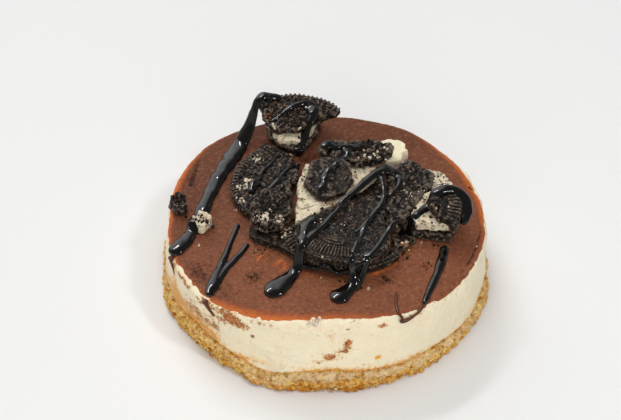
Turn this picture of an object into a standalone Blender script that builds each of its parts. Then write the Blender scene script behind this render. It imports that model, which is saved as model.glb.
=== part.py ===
"""A small round baked cheesecake: crumb base, cream cheese filling and chocolate glaze, topped with
a pile of broken chocolate sandwich biscuits and thick chocolate syrup.

Sizes are in millimetres and are scaled to metres when a mesh is made. The origin is the middle of
the underside, +Z is up and -Y is the side that faces the viewer.
"""

import math
import random

import bpy
from mathutils import Vector, noise

MM = 0.001
GAP = 0.3  # clearance between pieces that rest on each other

# The cake, from the table up.
CAKE_STEPS = 108  # points round each of its rings
BASE_RADIUS = 52.3
BASE_HEIGHT = 7.0
FILLING_RADIUS = 50.6  # at its top; it spreads towards its foot
FILLING_SPREAD = 1.1
FILLING_TOP = 24.4
GLAZE_RADIUS = 50.2
GLAZE_UNDER = FILLING_TOP + GAP
GLAZE_TOP = 26.0
SEAM_INSET = 1.0  # width of the seam's wavy edge, between base and filling
CORE_INSET = 7.0  # further in than this the seam is flat
SEAM_DROP = 0.4  # from the seam's height down to the base

# The side's unevenness, as the depth of its lumps and their size across.
CRUMB_LUMPS = (1.2, 2.6)
SEAM_LUMPS = (0.6, 2.6)
FILLING_LUMPS = (0.7, 5.0)
GLAZE_LUMPS = (0.5, 2.0)
SMOOTH = (0.0, 1.0)

# Departures from a true round, as (angle in degrees, height, half width in degrees).
TOP_BUMPS = ((273, -2.0, 17), (225, 1.6, 16), (180, -1.0, 12), (138, 1.6, 18), (318, 0.6, 20),
             (57, 0.8, 10))
FOOT_BUMPS = ((252, 1.0, 9), (219, -0.8, 10), (268, -0.6, 8), (198, 0.9, 8), (340, 0.5, 20))
SEAM_BUMPS = ((222, 2.6, 13), (251, -2.2, 8), (272, 1.8, 12), (333, -2.0, 14), (80, 0.8, 30))

# A sandwich biscuit: two wafers with cream between them.
WAFER_RADIUS = 22.0
WAFER_THICK = 3.1
FLUTES = 90  # ridges round a whole wafer's edge
FLUTE_DEPTH = 0.5
FACE_RELIEF = 0.25  # unevenness of a wafer's face, up and down
RELIEF_SIZE = 3.0
RIM_STEP = 9.0  # degrees between points of a rim without flutes
BREAK_STEP = 2.2  # between points of a broken edge
BREAK_JAG = 0.5

# Rings of a fragment, from its underside up: (scale of its outline, share of its thickness, share of
# its face's relief).
FRAGMENT_RINGS = ((0.96, 0.0, 0.0), (1.0, 0.25, 0.0), (1.0, 0.8, 0.0), (0.94, 1.0, 1.0), (0.5, 1.0, 1.0))

# Thick syrup.
SYRUP_LIFT = 0.45  # height of a strand's middle over what it lies on
STRAND_SIDES = 6
STRAND_FLATNESS = 0.72  # a strand's height for its width
STRAND_END = 0.55  # width of its end rings for the width there

SHARP_EDGE = math.radians(35)

# Heights at which pieces of the pile lie.
DECK = GLAZE_TOP + GAP
SECOND = DECK + WAFER_THICK + FACE_RELIEF + GAP


def clear_scene():
    for obj in list(bpy.data.objects):
        bpy.data.objects.remove(obj)


def material(name, colour, roughness):
    made = bpy.data.materials.new(name)
    made.use_nodes = True
    shader = made.node_tree.nodes["Principled BSDF"]
    shader.inputs["Base Color"].default_value = (*colour, 1.0)
    shader.inputs["Roughness"].default_value = roughness
    shader.inputs["Metallic"].default_value = 0.0
    return made


def add_object(name, points, faces, finish, place=(0, 0, 0), tilt=(0, 0)):
    """An object from points in millimetres, tilted about X and Y in degrees and set at place."""
    mesh = bpy.data.meshes.new(name)
    mesh.from_pydata([Vector(p) * MM for p in points], [], faces)
    mesh.materials.append(finish)
    mesh.shade_smooth()
    mesh.set_sharp_from_angle(angle=SHARP_EDGE)
    obj = bpy.data.objects.new(name, mesh)
    bpy.context.scene.collection.objects.link(obj)
    obj.location = Vector(place) * MM
    obj.rotation_euler = (math.radians(tilt[0]), math.radians(tilt[1]), 0)
    return obj


def bumped(angle, bumps):
    """The sum of smooth bumps at an angle in degrees."""
    total = 0.0
    for centre, height, half_width in bumps:
        away = (angle - centre + 180) % 360 - 180
        total += height * math.exp(-((away / half_width) ** 2))
    return total


def rough(point, size, depth):
    """A repeatable unevenness of the given depth whose lumps are about size across."""
    return depth * noise.noise(Vector(point) / size)


def loft(rings):
    """Points and faces of the closed skin over rings of equal length, from the lowest to the top."""
    count = len(rings[0])
    points = [p for ring in rings for p in ring]
    faces = []
    for low in range(0, count * (len(rings) - 1), count):
        for i in range(count):
            j = (i + 1) % count
            faces.append((low + i, low + j, low + count + j))
            faces.append((low + i, low + count + j, low + count + i))
    for ring, start in ((rings[0], 0), (rings[-1], count * (len(rings) - 1))):
        points.append([sum(p[k] for p in ring) / count for k in range(3)])
        for i in range(count):
            j = (i + 1) % count
            edge = (start + i, start + j) if start else (start + j, start + i)
            faces.append((*edge, len(points) - 1))
    return points, faces


def cake_ring(radius_at, height_at, lumps=SMOOTH):
    """One ring round the cake. radius_at and height_at are functions of the angle in degrees."""
    depth, size = lumps
    ring = []
    for i in range(CAKE_STEPS):
        degrees = 360 * i / CAKE_STEPS
        turn = math.radians(degrees)
        radius, height = radius_at(degrees), height_at(degrees)
        spot = (radius * math.cos(turn), radius * math.sin(turn), height)
        radius += rough(spot, size, depth)
        ring.append((radius * math.cos(turn), radius * math.sin(turn), height))
    return ring


def top_radius(inset):
    return lambda degrees: GLAZE_RADIUS - inset + bumped(degrees, TOP_BUMPS)


def side_radius(share, outset=0.0):
    """Radius of the filling's side, share of the way from its top down to its foot."""
    spread = FILLING_SPREAD * share + outset
    return lambda degrees: FILLING_RADIUS + spread + bumped(degrees, TOP_BUMPS) * (1 - share)


def foot_radius(outset):
    return lambda degrees: BASE_RADIUS + outset + bumped(degrees, FOOT_BUMPS)


def level(height):
    return lambda degrees: height


def seam(lift, share=1.0):
    """Height of the wavy seam between base and filling. A share of 0 is its even middle."""
    return lambda degrees: BASE_HEIGHT + lift + share * bumped(degrees, SEAM_BUMPS)


def crumb_base(finish):
    rings = [
        cake_ring(foot_radius(-2.0), level(0.0)),
        cake_ring(foot_radius(-0.7), level(0.0), CRUMB_LUMPS),
        cake_ring(foot_radius(0.1), level(1.2), CRUMB_LUMPS),
        cake_ring(foot_radius(0.2), level(3.0), CRUMB_LUMPS),
        cake_ring(side_radius(1.0, 0.4), seam(-SEAM_DROP - 1.1), SEAM_LUMPS),
        cake_ring(side_radius(1.0), seam(-SEAM_DROP - 0.1), SEAM_LUMPS),
        cake_ring(side_radius(1.0, -SEAM_INSET), seam(-SEAM_DROP)),
        cake_ring(side_radius(1.0, -CORE_INSET), seam(-SEAM_DROP, 0.0)),
    ]
    return add_object("crumb_base", *loft(rings), finish)


def between_seam_and_top(share):
    return lambda degrees: FILLING_TOP * share + seam(GAP)(degrees) * (1 - share)


def filling(finish):
    rings = [
        cake_ring(side_radius(1.0, -CORE_INSET), seam(GAP, 0.0)),
        cake_ring(side_radius(1.0, -SEAM_INSET), seam(GAP)),
        cake_ring(side_radius(0.9), seam(GAP + 0.7), FILLING_LUMPS),
        cake_ring(side_radius(0.6), between_seam_and_top(0.38), FILLING_LUMPS),
        cake_ring(side_radius(0.3), between_seam_and_top(0.7), FILLING_LUMPS),
        cake_ring(side_radius(0.0), level(FILLING_TOP - 1.1), FILLING_LUMPS),
        cake_ring(side_radius(0.0, -0.9), level(FILLING_TOP)),
    ]
    return add_object("cream_cheese_filling", *loft(rings), finish)


def glaze(finish):
    rings = [
        cake_ring(top_radius(0.9), level(GLAZE_UNDER)),
        cake_ring(top_radius(0.0), level(GLAZE_UNDER + 0.25), GLAZE_LUMPS),
        cake_ring(top_radius(0.3), level(GLAZE_TOP - 0.4), GLAZE_LUMPS),
        cake_ring(top_radius(1.8), level(GLAZE_TOP)),
    ]
    return add_object("chocolate_glaze", *loft(rings), finish)


def smooth_route(route, spans):
    """Points along a smooth curve through the route's own points, spans of them to a stretch."""
    ends = [Vector(p) for p in (route[0], *route, route[-1])]
    found = []
    for a, b, c, d in zip(ends, ends[1:], ends[2:], ends[3:]):
        for step in range(spans):
            t = step / spans
            cubic = 3 * b - a - 3 * c + d
            found.append((2 * b + (c - a) * t + (2 * a - 5 * b + 4 * c - d) * t**2 + cubic * t**3) / 2)
    found.append(ends[-1])
    return found


def laid(obj, route):
    """The route with heights: an entry (x, y, width) lies on the object, one with z is left."""
    bpy.context.view_layer.update()
    back = obj.matrix_world.inverted()
    found = []
    for x, y, *rest in route:
        if len(rest) == 1:
            above = back @ Vector((x * MM, y * MM, 0.1))
            down = back.to_3x3() @ Vector((0, 0, -1))
            hit, spot, *_ = obj.ray_cast(above, down)
            top = (obj.matrix_world @ spot).z / MM if hit else found[-1][2]
            rest = (top + SYRUP_LIFT, rest[0])
        found.append((x, y, *rest))
    return found


def strand(route):
    """Points and faces of a rounded strand. Each route point is (x, y, z, width)."""
    line = smooth_route(route, 2)
    rings = []
    last = len(line) - 1
    for i, spot in enumerate(line):
        along = Vector((line[min(i + 1, last)] - line[max(i - 1, 0)])[:3]).normalized()
        across = along.cross(Vector((0, 0, 1))).normalized()
        upward = across.cross(along)
        half = spot[3] / 2 * (STRAND_END if i in (0, last) else 1.0)
        ring = []
        for k in range(STRAND_SIDES):
            turn = -2 * math.pi * (k + 0.5) / STRAND_SIDES
            rise = half * STRAND_FLATNESS * math.sin(turn)
            ring.append(Vector(spot[:3]) + across * (half * math.cos(turn)) + upward * rise)
        rings.append(ring)
    return loft(rings)


def fuse(obj, routes, finish):
    """Joins strands of syrup to the object they lie on."""
    group = bpy.data.collections.new(obj.name + "_strands")
    bpy.context.scene.collection.children.link(group)
    for number, route in enumerate(routes):
        piece = add_object(f"{obj.name}_strand_{number}", *strand(laid(obj, route)), finish)
        bpy.context.scene.collection.objects.unlink(piece)
        group.objects.link(piece)
    union = obj.modifiers.new("strands", "BOOLEAN")
    union.operation = "UNION"
    union.operand_type = "COLLECTION"
    union.collection = group
    union.solver = "MANIFOLD" if obj.name in MANIFOLD_UNIONS else "EXACT"
    graph = bpy.context.evaluated_depsgraph_get()
    graph.update()
    joined = bpy.data.meshes.new_from_object(obj.evaluated_get(graph))
    joined.set_sharp_from_angle(angle=SHARP_EDGE)
    obj.modifiers.clear()
    obj.data = joined
    for piece in list(group.objects):
        bpy.data.objects.remove(piece)
    bpy.data.collections.remove(group)


def rim_points(centre, arc, radius, fluted):
    """Points along a wafer's rim, anticlockwise between two angles in degrees."""
    start, end = arc
    step = 180 / FLUTES if fluted else RIM_STEP
    count = max(2, round((end - start) / step))
    found = []
    for i in range(count + 1):
        turn = math.radians(start + (end - start) * i / count)
        inset = FLUTE_DEPTH if fluted and i % 2 else 0.0
        found.append(Vector(centre) + (radius - inset) * Vector((math.cos(turn), math.sin(turn))))
    return found


def broken_points(corners, draw):
    """Points along a broken edge through corners, moved a little off the straight."""
    found = []
    for a, b in zip(corners, corners[1:]):
        run = Vector(b) - Vector(a)
        side = Vector((-run.y, run.x)).normalized()
        count = max(1, round(run.length / BREAK_STEP))
        for i in range(1, count + 1):
            found.append(Vector(a) + run * (i / count) + side * draw.uniform(-BREAK_JAG, BREAK_JAG))
    return found[:-1]


def outline(centre, arc, corners, radius, fluted, seed):
    """A fragment's outline, anticlockwise: its stretch of rim, then its broken edge."""
    draw = random.Random(seed)
    if arc is None:
        return [Vector(corners[0]), *broken_points([*corners, corners[0]], draw)]
    rim = rim_points(centre, arc, radius, fluted)
    return rim + broken_points([rim[-1], *corners, rim[0]], draw)


def fragment(name, finish, base, corners, centre=None, arc=None, thick=WAFER_THICK, tilt=(0, 0),
             radius=WAFER_RADIUS, fluted=True, relief=FACE_RELIEF, seed=1):
    """A broken slab of wafer or cream.

    Its outline, seen from above, is an arc of the disc round centre and then the corners of its
    broken edge. It stands at its outline's middle, with its underside at the height base there.
    """
    edge = outline(centre, arc, corners, radius, fluted, seed)
    middle = sum(edge, Vector((0, 0))) / len(edge)

    rings = []
    for scale, height_share, relief_share in FRAGMENT_RINGS:
        ring = []
        for p in edge:
            x, y = (p - middle) * scale
            z = height_share * thick
            ring.append((x, y, z + rough((x + 7 * seed, y, z), RELIEF_SIZE, relief_share * relief)))
        rings.append(ring)
    return add_object(name, *loft(rings), finish, (*middle, base), tilt)


# Fragments of wafer. Corners and routes are (x, y) seen from above.
WAFERS = {
    # Lying on the glaze.
    "rear_wafer_low": dict(base=DECK, seed=11, centre=(-11, 24.5), arc=(66, 115), fluted=False,
                           corners=((-20, 38), (-19, 34), (-15, 30), (-11.5, 27.6), (-7.8, 28), (-4.7, 32),
                                    (-3.2, 38))),
    "left_wafer": dict(base=DECK, seed=12, centre=(-8.7, 10.4), arc=(128, 217),
                       corners=((-20.4, -6.8), (-15.5, -6.2), (-12.5, 0), (-11.5, 8), (-9.6, 13), (-8.8, 20.2),
                                (-12, 24), (-16, 28.2), (-20.4, 30))),
    "front_wafer_low": dict(base=DECK, seed=13, centre=(7.0, -7.8), arc=(228, 316), fluted=False, radius=21.4,
                            corners=((21.6, -21.2), (19, -19.6), (18.5, -11.5), (8, -9.8), (-4, -10.3),
                                     (-12, -11.2), (-16, -9.8), (-20, -9.9), (-23.2, -10.8), (-23, -14.8),
                                     (-19.9, -16.4), (-13.6, -19.2), (-10.5, -21.6))),
    "middle_wafer": dict(base=DECK, seed=14, centre=(4.0, -3.0), arc=(50, 112), radius=21.5, fluted=False,
                         corners=((-6.5, 12), (-8, 0), (-9, -8.5), (8, -8.5), (18, -10), (21, 0), (20, 11))),
    "right_wafer_low": dict(base=DECK, seed=15, centre=(19.3, -4.0), arc=(-28, 22),
                            corners=((34, 4.4), (23, 3.4), (22.3, -9), (27.5, -12.6), (33.5, -14))),
    # Resting on those.
    "front_wafer": dict(base=SECOND, seed=16, centre=(7.0, -7.8), arc=(227, 292),
                        corners=((17.6, -25.4), (19, -20.5), (18.1, -13), (17.2, -2), (13, -1), (7.5, -3),
                                 (0, -7), (-5, -10.8), (-8.2, -14), (-9.2, -18.5))),
    "left_crumble": dict(base=SECOND, seed=20, thick=4.0, relief=0.8,
                         corners=((-22.4, -4), (-22.8, -12.2), (-18.6, -14.4), (-13.4, -14.2), (-11.4, -9.6),
                                  (-10.8, -3.6), (-11.2, 1.4), (-13.6, 3.8), (-16.8, 2.6), (-19.6, -0.4))),
    "right_wafer": dict(base=SECOND + 0.4, seed=17, relief=0.6,
                        corners=((23.4, 15), (20.6, 9), (19.6, 0), (19.4, -12), (22, -14.2), (24.6, -10.4),
                                 (26.4, -5.4), (29.6, -0.2), (32.6, 4.2), (34.2, 8.5), (33, 12.8), (30, 16.6),
                                 (26.4, 17.4))),
    "rear_wafer_top": dict(base=35.0, seed=18, centre=(-10.5, 24.5), arc=(46, 123), tilt=(13, 0),
                           corners=((-21.4, 36), (-19.6, 33), (-17, 31.4), (-13, 30.6), (-9, 31), (-6, 32.8),
                                    (-3.4, 35.6), (0, 36.4), (2.8, 37.4))),
    "centre_wafer": dict(base=33.0, seed=19, tilt=(5, 0),
                         corners=((-6.6, 4), (-4.6, -0.6), (-1.2, -3), (2.6, -2.6), (6, 0), (8.3, 6),
                                  (7.2, 11.4), (3.8, 14), (-0.4, 14), (-4.4, 12.6))),
    "rear_shard": dict(base=32.8, seed=21, thick=3.4, tilt=(3, 0), relief=0.6,
                       corners=((-2.4, 20.4), (-0.6, 16.6), (3.4, 14.9), (9.4, 13), (14, 13.6), (18, 16),
                                (21.4, 19), (20.8, 22), (16.8, 23.8), (11, 24), (6, 22.6), (1.2, 23))),
    "right_wafer_top": dict(base=34.0, seed=22, centre=(19.6, -7.6), arc=(-28, 15), tilt=(6, 3),
                            corners=((36, -1.4), (33.4, -3.4), (31.4, -7), (32.6, -11.4), (36, -15))),
    # Loose crumbs.
    "right_crumble": dict(base=DECK, seed=23, thick=2.6, relief=0.6,
                          corners=((21.4, -18.2), (24, -18.6), (26.8, -16.2), (26.8, -14.6), (22.6, -11.8),
                                   (20.8, -12.6))),
    "edge_crumb": dict(base=DECK, seed=24, thick=4.6, relief=0.8,
                       corners=((-49, 1.4), (-48.4, -2), (-44.6, -4.2), (-43, -1.2), (-45, 1.8))),
}

# Pieces of the biscuits' pale cream.
CREAMS = {
    "rear_cream": dict(base=30.6, thick=2.4, seed=31, centre=(-11, 24.5), arc=(64, 115), radius=20.6,
                       tilt=(7, 0), corners=((-19.6, 37), (-17.6, 32.4), (-13.6, 29.4), (-9.6, 29), (-6.4, 31),
                                             (-4, 36))),
    "middle_cream": dict(base=SECOND, thick=2.1, seed=32,
                         corners=((-8.4, 9), (-9.0, 3), (-8.8, -5), (-9.4, -11.6), (-7.6, -11.4), (-0.4, -5.6),
                                  (5.6, -1), (9.4, 3.4), (13.4, 7), (16.8, 10.6), (15, 16), (6, 18), (0, 16),
                                  (-6, 15.4))),
    "rear_cream_slab": dict(base=DECK, thick=5.4, seed=33,
                            corners=((17.2, 20.2), (19.4, 18.2), (24, 18.8), (24.4, 21.4), (24.9, 23.4),
                                     (27.2, 24.2), (26, 27.8), (24.2, 29.8), (20.4, 30.4), (16.6, 29.2),
                                     (16.4, 24.6))),
    "right_cream_slab": dict(base=DECK, thick=2.8, seed=34,
                             corners=((27, 6.4), (36.6, 5.4), (40.8, 6.6), (40.6, 11.4), (38, 15.8), (33.4, 17.6),
                                      (28, 14))),
    "right_cream": dict(base=SECOND, thick=2.2, seed=35, centre=(19.3, -4.0), arc=(-27, 18), radius=20.6,
                        corners=((33, 2.6), (30.8, 0), (27.8, -5), (25.6, -10), (28, -12.6), (33, -13.8))),
    "left_cream_crumb": dict(base=DECK, thick=3.8, seed=36, relief=0.7,
                             corners=((-40.6, -8), (-39.4, -12), (-36.8, -11.4), (-35.4, -7.6), (-36.8, -4.8),
                                      (-39.4, -5))),
}

# The exact solver gives nothing for the strands of these.
MANIFOLD_UNIONS = ("right_wafer_top",)

# Syrup by the piece that it lies on. An entry is (x, y, width), or (x, y, z, width) off the piece.
STRANDS = {
    "chocolate_glaze": (
        ((-29.0, 31.0, 3.8), (-30.9, 26.4, 4.4), (-32.9, 21.1, 4.4), (-35.2, 13.6, 4.2), (-37.2, 5.0, 3.8),
         (-38.2, -0.2, 3.0)),
        ((-41.4, -13.6, 3.2), (-43.8, -17.0, 4.2), (-45.8, -21.0, 3.8)),
        ((-28.0, -13.0, 1.8), (-29.8, -18.0, 2.2), (-32.0, -27.0, 2.8), (-33.9, -35.0, 4.2), (-34.5, -37.6, 3.4)),
        ((-24.8, -17.6, 2.0), (-27.2, -21.6, 2.4), (-31.2, -28.0, 2.4)),
        ((-8.8, -30.0, 3.0), (-11.4, -34.0, 3.9), (-14.0, -37.4, 3.6)),
        ((9.6, -33.2, 3.0), (7.4, -36.4, 4.0), (4.6, -39.8, 3.8)),
        ((36.0, -19.0, 2.6), (34.5, -25.0, 2.4), (31.6, -33.5, 1.9), (29.6, -38.6, 1.5)),
    ),
    "rear_wafer_top": (
        ((-8.0, 43.4, 2.4), (-14.0, 43.8, 3.2), (-18.6, 43.0, 3.4), (-22.4, 40.4, 38.0, 3.2),
         (-24.8, 37.6, 34.6, 3.4), (-26.4, 35.8, 31.0, 3.4), (-27.2, 34.4, 29.2, 3.0)),
        ((-17.4, 33.4, 1.8), (-12.2, 37.2, 2.0), (-7.6, 39.6, 2.4), (-4.6, 39.0, 2.6), (-3.8, 36.6, 2.8)),
    ),
    "left_wafer": (
        ((-15.5, 23.7, 1.6), (-17.0, 20.1, 2.0), (-19.7, 15.4, 2.2), (-22.3, 9.4, 2.0), (-23.7, 5.4, 1.6)),
        ((-12.0, 16.5, 1.6), (-14.4, 12.5, 2.2), (-16.1, 7.6, 1.8)),
    ),
    "centre_wafer": (((5.0, 12.6, 2.4), (2.4, 9.4, 3.0), (0.2, 5.4, 3.4), (-1.0, 1.6, 3.0), (-1.6, -1.4, 2.0)),),
    "rear_shard": (((0.8, 18.4, 2.4), (3.6, 19.8, 3.0), (8.4, 19.2, 2.4), (11.6, 17.6, 2.0)),),
    "right_wafer": (((22.2, 0.4, 2.6), (23.0, 5.0, 4.0), (22.6, 9.4, 3.6)),),
    "front_wafer": (
        ((15.8, -5.9, 2.0), (13.2, -12.0, 2.0), (11.3, -18.3, 2.0), (9.2, -24.5, 2.0), (8.2, -27.4, 1.8)),
        ((16.6, -19.0, 2.0), (15.0, -23.0, 2.2), (13.4, -26.0, 2.0)),
        ((4.4, -7.4, 2.0), (1.7, -10.8, 2.4), (-1.4, -15.6, 3.2), (-4.0, -19.4, 3.8), (-5.2, -22.4, 2.8)),
    ),
    "right_wafer_top": (
        ((33.4, -6.6, 2.4), (35.4, -3.6, 2.6), (38.0, -3.0, 2.6), (39.9, -5.8, 2.8), (40.3, -10.4, 2.8),
         (39.2, -14.4, 2.4)),
    ),
}


def main():
    clear_scene()
    crumb = material("biscuit_crumb", (0.62, 0.33, 0.09), 0.85)
    cheese = material("baked_cream_cheese", (0.83, 0.72, 0.50), 0.55)
    chocolate = material("chocolate_glaze", (0.16, 0.055, 0.03), 0.45)
    wafer = material("dark_wafer", (0.022, 0.015, 0.012), 0.8)
    cream = material("biscuit_cream", (0.80, 0.72, 0.58), 0.6)
    syrup = material("chocolate_syrup", (0.006, 0.006, 0.007), 0.08)

    crumb_base(crumb)
    filling(cheese)
    glaze(chocolate)
    for name, spec in WAFERS.items():
        fragment(name, wafer, **spec)
    for name, spec in CREAMS.items():
        fragment(name, cream, fluted=False, **spec)
    for name, routes in STRANDS.items():
        fuse(bpy.data.objects[name], routes, syrup)


main()
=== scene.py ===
"""The looks of a small round baked cheesecake with chocolate glaze, broken sandwich biscuits and syrup.

Sizes are in millimetres, in the frame's own axes, and become metres when a mesh is made. The origin
is the middle of the underside, +Z is up and -Y is the side that faces the viewer.
"""

import math
import random

import bmesh
import bpy
import numpy as np
from mathutils import Matrix, Vector
from mathutils.bvhtree import BVHTree


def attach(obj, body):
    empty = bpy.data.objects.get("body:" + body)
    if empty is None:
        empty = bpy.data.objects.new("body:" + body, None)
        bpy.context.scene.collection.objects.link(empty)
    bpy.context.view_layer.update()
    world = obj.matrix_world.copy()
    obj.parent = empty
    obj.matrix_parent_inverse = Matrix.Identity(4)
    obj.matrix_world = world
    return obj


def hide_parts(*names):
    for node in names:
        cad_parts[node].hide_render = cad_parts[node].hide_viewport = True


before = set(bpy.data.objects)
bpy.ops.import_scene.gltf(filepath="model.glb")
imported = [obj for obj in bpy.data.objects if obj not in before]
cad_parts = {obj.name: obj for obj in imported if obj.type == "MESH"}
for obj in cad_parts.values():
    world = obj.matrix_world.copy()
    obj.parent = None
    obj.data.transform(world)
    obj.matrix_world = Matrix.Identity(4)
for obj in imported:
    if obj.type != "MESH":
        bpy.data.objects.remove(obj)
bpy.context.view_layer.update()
MM = 0.001
BODY = "root"

# The cake's driving sizes, as in the solids.
BASE_RADIUS = 52.3
BASE_HEIGHT = 7.0
FILLING_RADIUS = 50.6
FILLING_SPREAD = 1.1
FILLING_TOP = 24.4
GLAZE_RADIUS = 50.2
GLAZE_TOP = 26.0
GAP = 0.3  # clearance between pieces that rest on each other
TOP_BUMPS = ((273, -2.0, 17), (225, 1.6, 16), (180, -1.0, 12), (138, 1.6, 18), (318, 0.6, 20),
             (57, 0.8, 10))
FOOT_BUMPS = ((252, 1.0, 9), (219, -0.8, 10), (268, -0.6, 8), (198, 0.9, 8), (340, 0.5, 20))
SEAM_BUMPS = ((222, 2.6, 13), (251, -2.2, 8), (272, 1.8, 12), (333, -2.0, 14), (80, 0.8, 30))

# A sandwich biscuit.
WAFER_RADIUS = 22.0
WAFER_THICK = 3.1
FLUTES = 90
FLUTE_DEPTH = 0.8
RIBS_START = 17.6  # radius at which the ribs of its face begin
MOULDING = 0.5  # height of the moulded pattern on a face
FRAGMENT_VOXEL = 0.32
# Rings of a fragment's slab, from its underside up: scale of its outline and share of its thickness.
SLAB_RINGS = ((0.97, 0.0), (1.0, 0.12), (1.0, 0.82), (0.985, 0.95), (0.95, 1.0), (0.5, 1.0))
RIM_STEP = 9.0
BREAK_STEP = 2.2
BREAK_JAG = 0.5
FACE_RELIEF = 0.25  # unevenness of a wafer's face in the solids, up and down
# The heights that the first and the second layer of fragments lie at.
DECK = GLAZE_TOP + GAP
SECOND = DECK + WAFER_THICK + FACE_RELIEF + GAP

# Thick syrup, and loose crumbs on the base.
FULL_HALF = 1.2  # half width up to which a strand's height grows with it
SPREAD_SHARE = 0.3  # growth of the height past that
THICKEN = 0.12  # added to each strand's half width, which the smoothing takes off again
STRAND_STEP = 0.45  # between points along a strand
TRAIL_STEP = 0.35  # between points along a thin trail
SYRUP_VOXEL = 0.26
SYRUP_SMOOTHING = 7
BASE_CRUMBS = 2300

# Stage, light and camera, in metres, but the lens and sensor in millimetres.
FLOOR_HALF = 3.0
FLOOR_DROP = 0.0001
CAMERA_ELEVATION = math.radians(43)
CAMERA_DISTANCE = 0.390
CAMERA_LENS = 70.0
SENSOR = 36.0
PHOTO_WIDTH = 621
CAKE_MIDDLE = Vector((0, 0, 0.013))
AIM_RIGHT, AIM_UP = -15, 31  # pixels from the cake's middle to the photograph's
# Area lights: place, size and watts, and whether they show in gloss.
LIGHTS = {
    "overhead": ((0, -0.2, 1.4), (1.4, 1.2), 6.3, False),
    "front_fill": ((-0.1, -1.2, 0.6), (1.2, 0.7), 7.0, False),
    "rear_strip": ((-0.30, 0.50, 0.86), (0.44, 0.06), 2.2, True),
    "key": ((0.55, -0.4, 1.0), (0.10, 0.16), 2.6, True),
}
WORLD_STRENGTH = 0.42
WORLD_LOW, WORLD_HIGH = (1, 1, 1, 1), (0.30, 0.30, 0.31, 1)
SOFT_PANEL = Vector((-0.42, 0.66, 0.62)).normalized()  # towards the middle of a wide soft light
PANEL_EDGES = (0.82, 0.97)  # cosines from the panel's middle where it starts and is full
PANEL_GAIN = 3.2

STEPS = 900  # points round each ring of the cake
DEGREES = np.arange(STEPS) * 360 / STEPS
TURNS = np.radians(DEGREES)


def bumped(degrees, bumps):
    """The sum of smooth bumps, each an angle in degrees, a height and a half width in degrees."""
    total = np.zeros_like(degrees, dtype=float)
    for centre, height, half_width in bumps:
        away = (degrees - centre + 180) % 360 - 180
        total += height * np.exp(-((away / half_width) ** 2))
    return total


def scatter(cells):
    """A repeatable number from -1 to 1 for each row of cells."""
    value = np.sin(cells @ np.array((127.1, 311.7, 74.7))) * 43758.5453
    return 2 * (value - np.floor(value)) - 1


def noise(points, size, seed=0):
    """Smooth repeatable noise from -1 to 1 whose lumps are about size across."""
    spot = np.asarray(points) / size + seed * 7.13
    cell = np.floor(spot)
    part = spot - cell
    part = part * part * (3 - 2 * part)
    total = np.zeros(len(spot))
    for corner in np.ndindex(2, 2, 2):
        weight = np.prod(np.where(np.array(corner), part, 1 - part), axis=1)
        total += weight * scatter(cell + corner)
    return total


def fractal(points, size, octaves=3, seed=0):
    return sum(noise(points, size / 2**k, seed + k) / 2**k for k in range(octaves))


def grains(points, size, seed=0):
    """Rounded bumps about size across, 0 between them and 1 on top, with a number for each bump."""
    spot = np.asarray(points) / size
    cell = np.floor(spot)
    nearest = np.full(len(spot), 9.0)
    own = np.zeros(len(spot))
    for corner in np.ndindex(3, 3, 3):
        here = cell + corner - 1
        shift = np.stack([scatter(here + seed + 19.7 * k) for k in range(3)], 1)
        away = ((spot - here - 0.5 - 0.42 * shift) ** 2).sum(1)
        closer = away < nearest
        nearest = np.where(closer, away, nearest)
        own = np.where(closer, scatter(here + seed + 71.3), own)
    return np.clip(1 - nearest * 1.4, 0, 1), own


def smoothstep(low, high, value):
    part = np.clip((value - low) / (high - low), 0, 1)
    return part * part * (3 - 2 * part)


def through(marks, counts):
    """Points, or whole rings, along smooth curves through marks, counts of them to each stretch."""
    ends = [np.asarray(m, float) for m in (marks[0], *marks, marks[-1])]
    found = []
    for a, b, c, d, count in zip(ends, ends[1:], ends[2:], ends[3:], counts):
        for step in range(count):
            t = step / count
            cubic = 3 * b - a - 3 * c + d
            found.append((2 * b + (c - a) * t + (2 * a - 5 * b + 4 * c - d) * t**2 + cubic * t**3) / 2)
    found.append(ends[-1])
    return np.array(found)


def skin(rows):
    """Points and faces of the closed skin over rows of points (rows, steps, 3), the lowest first."""
    count, steps = rows.shape[:2]
    points = np.concatenate([rows.reshape(-1, 3), rows[:1].mean(1), rows[-1:].mean(1)])
    i = np.arange(steps)
    j = (i + 1) % steps
    faces = []
    for low in range(0, (count - 1) * steps, steps):
        faces += np.stack([low + i, low + j, low + steps + j, low + steps + i], 1).tolist()
    last = (count - 1) * steps
    faces += np.stack([j, i, np.full(steps, count * steps)], 1).tolist()
    faces += np.stack([last + i, last + j, np.full(steps, count * steps + 1)], 1).tolist()
    return points, faces


def add_piece(name, points, faces, finish, attributes=None):
    """An object from points in millimetres. attributes are numbers for each point, by name."""
    mesh = bpy.data.meshes.new(name)
    mesh.from_pydata((np.asarray(points) * MM).tolist(), [], faces)
    mesh.materials.append(finish)
    mesh.shade_smooth()
    obj = bpy.data.objects.new(name, mesh)
    bpy.context.scene.collection.objects.link(obj)
    for key, values in (attributes or {}).items():
        set_numbers(obj, key, values)
    return obj


def set_numbers(obj, key, values):
    layer = obj.data.attributes.get(key) or obj.data.attributes.new(key, "FLOAT", "POINT")
    layer.data.foreach_set("value", np.asarray(values, np.float32))


def points_of(obj):
    found = np.zeros(len(obj.data.vertices) * 3, np.float32)
    obj.data.vertices.foreach_get("co", found)
    return found.reshape(-1, 3).astype(float) / MM


def set_points(obj, points):
    obj.data.vertices.foreach_set("co", (points * MM).astype(np.float32).ravel())
    obj.data.update()


def normals_of(obj):
    found = np.zeros(len(obj.data.vertices) * 3, np.float32)
    obj.data.vertex_normals.foreach_get("vector", found)
    return found.reshape(-1, 3).astype(float)


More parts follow.
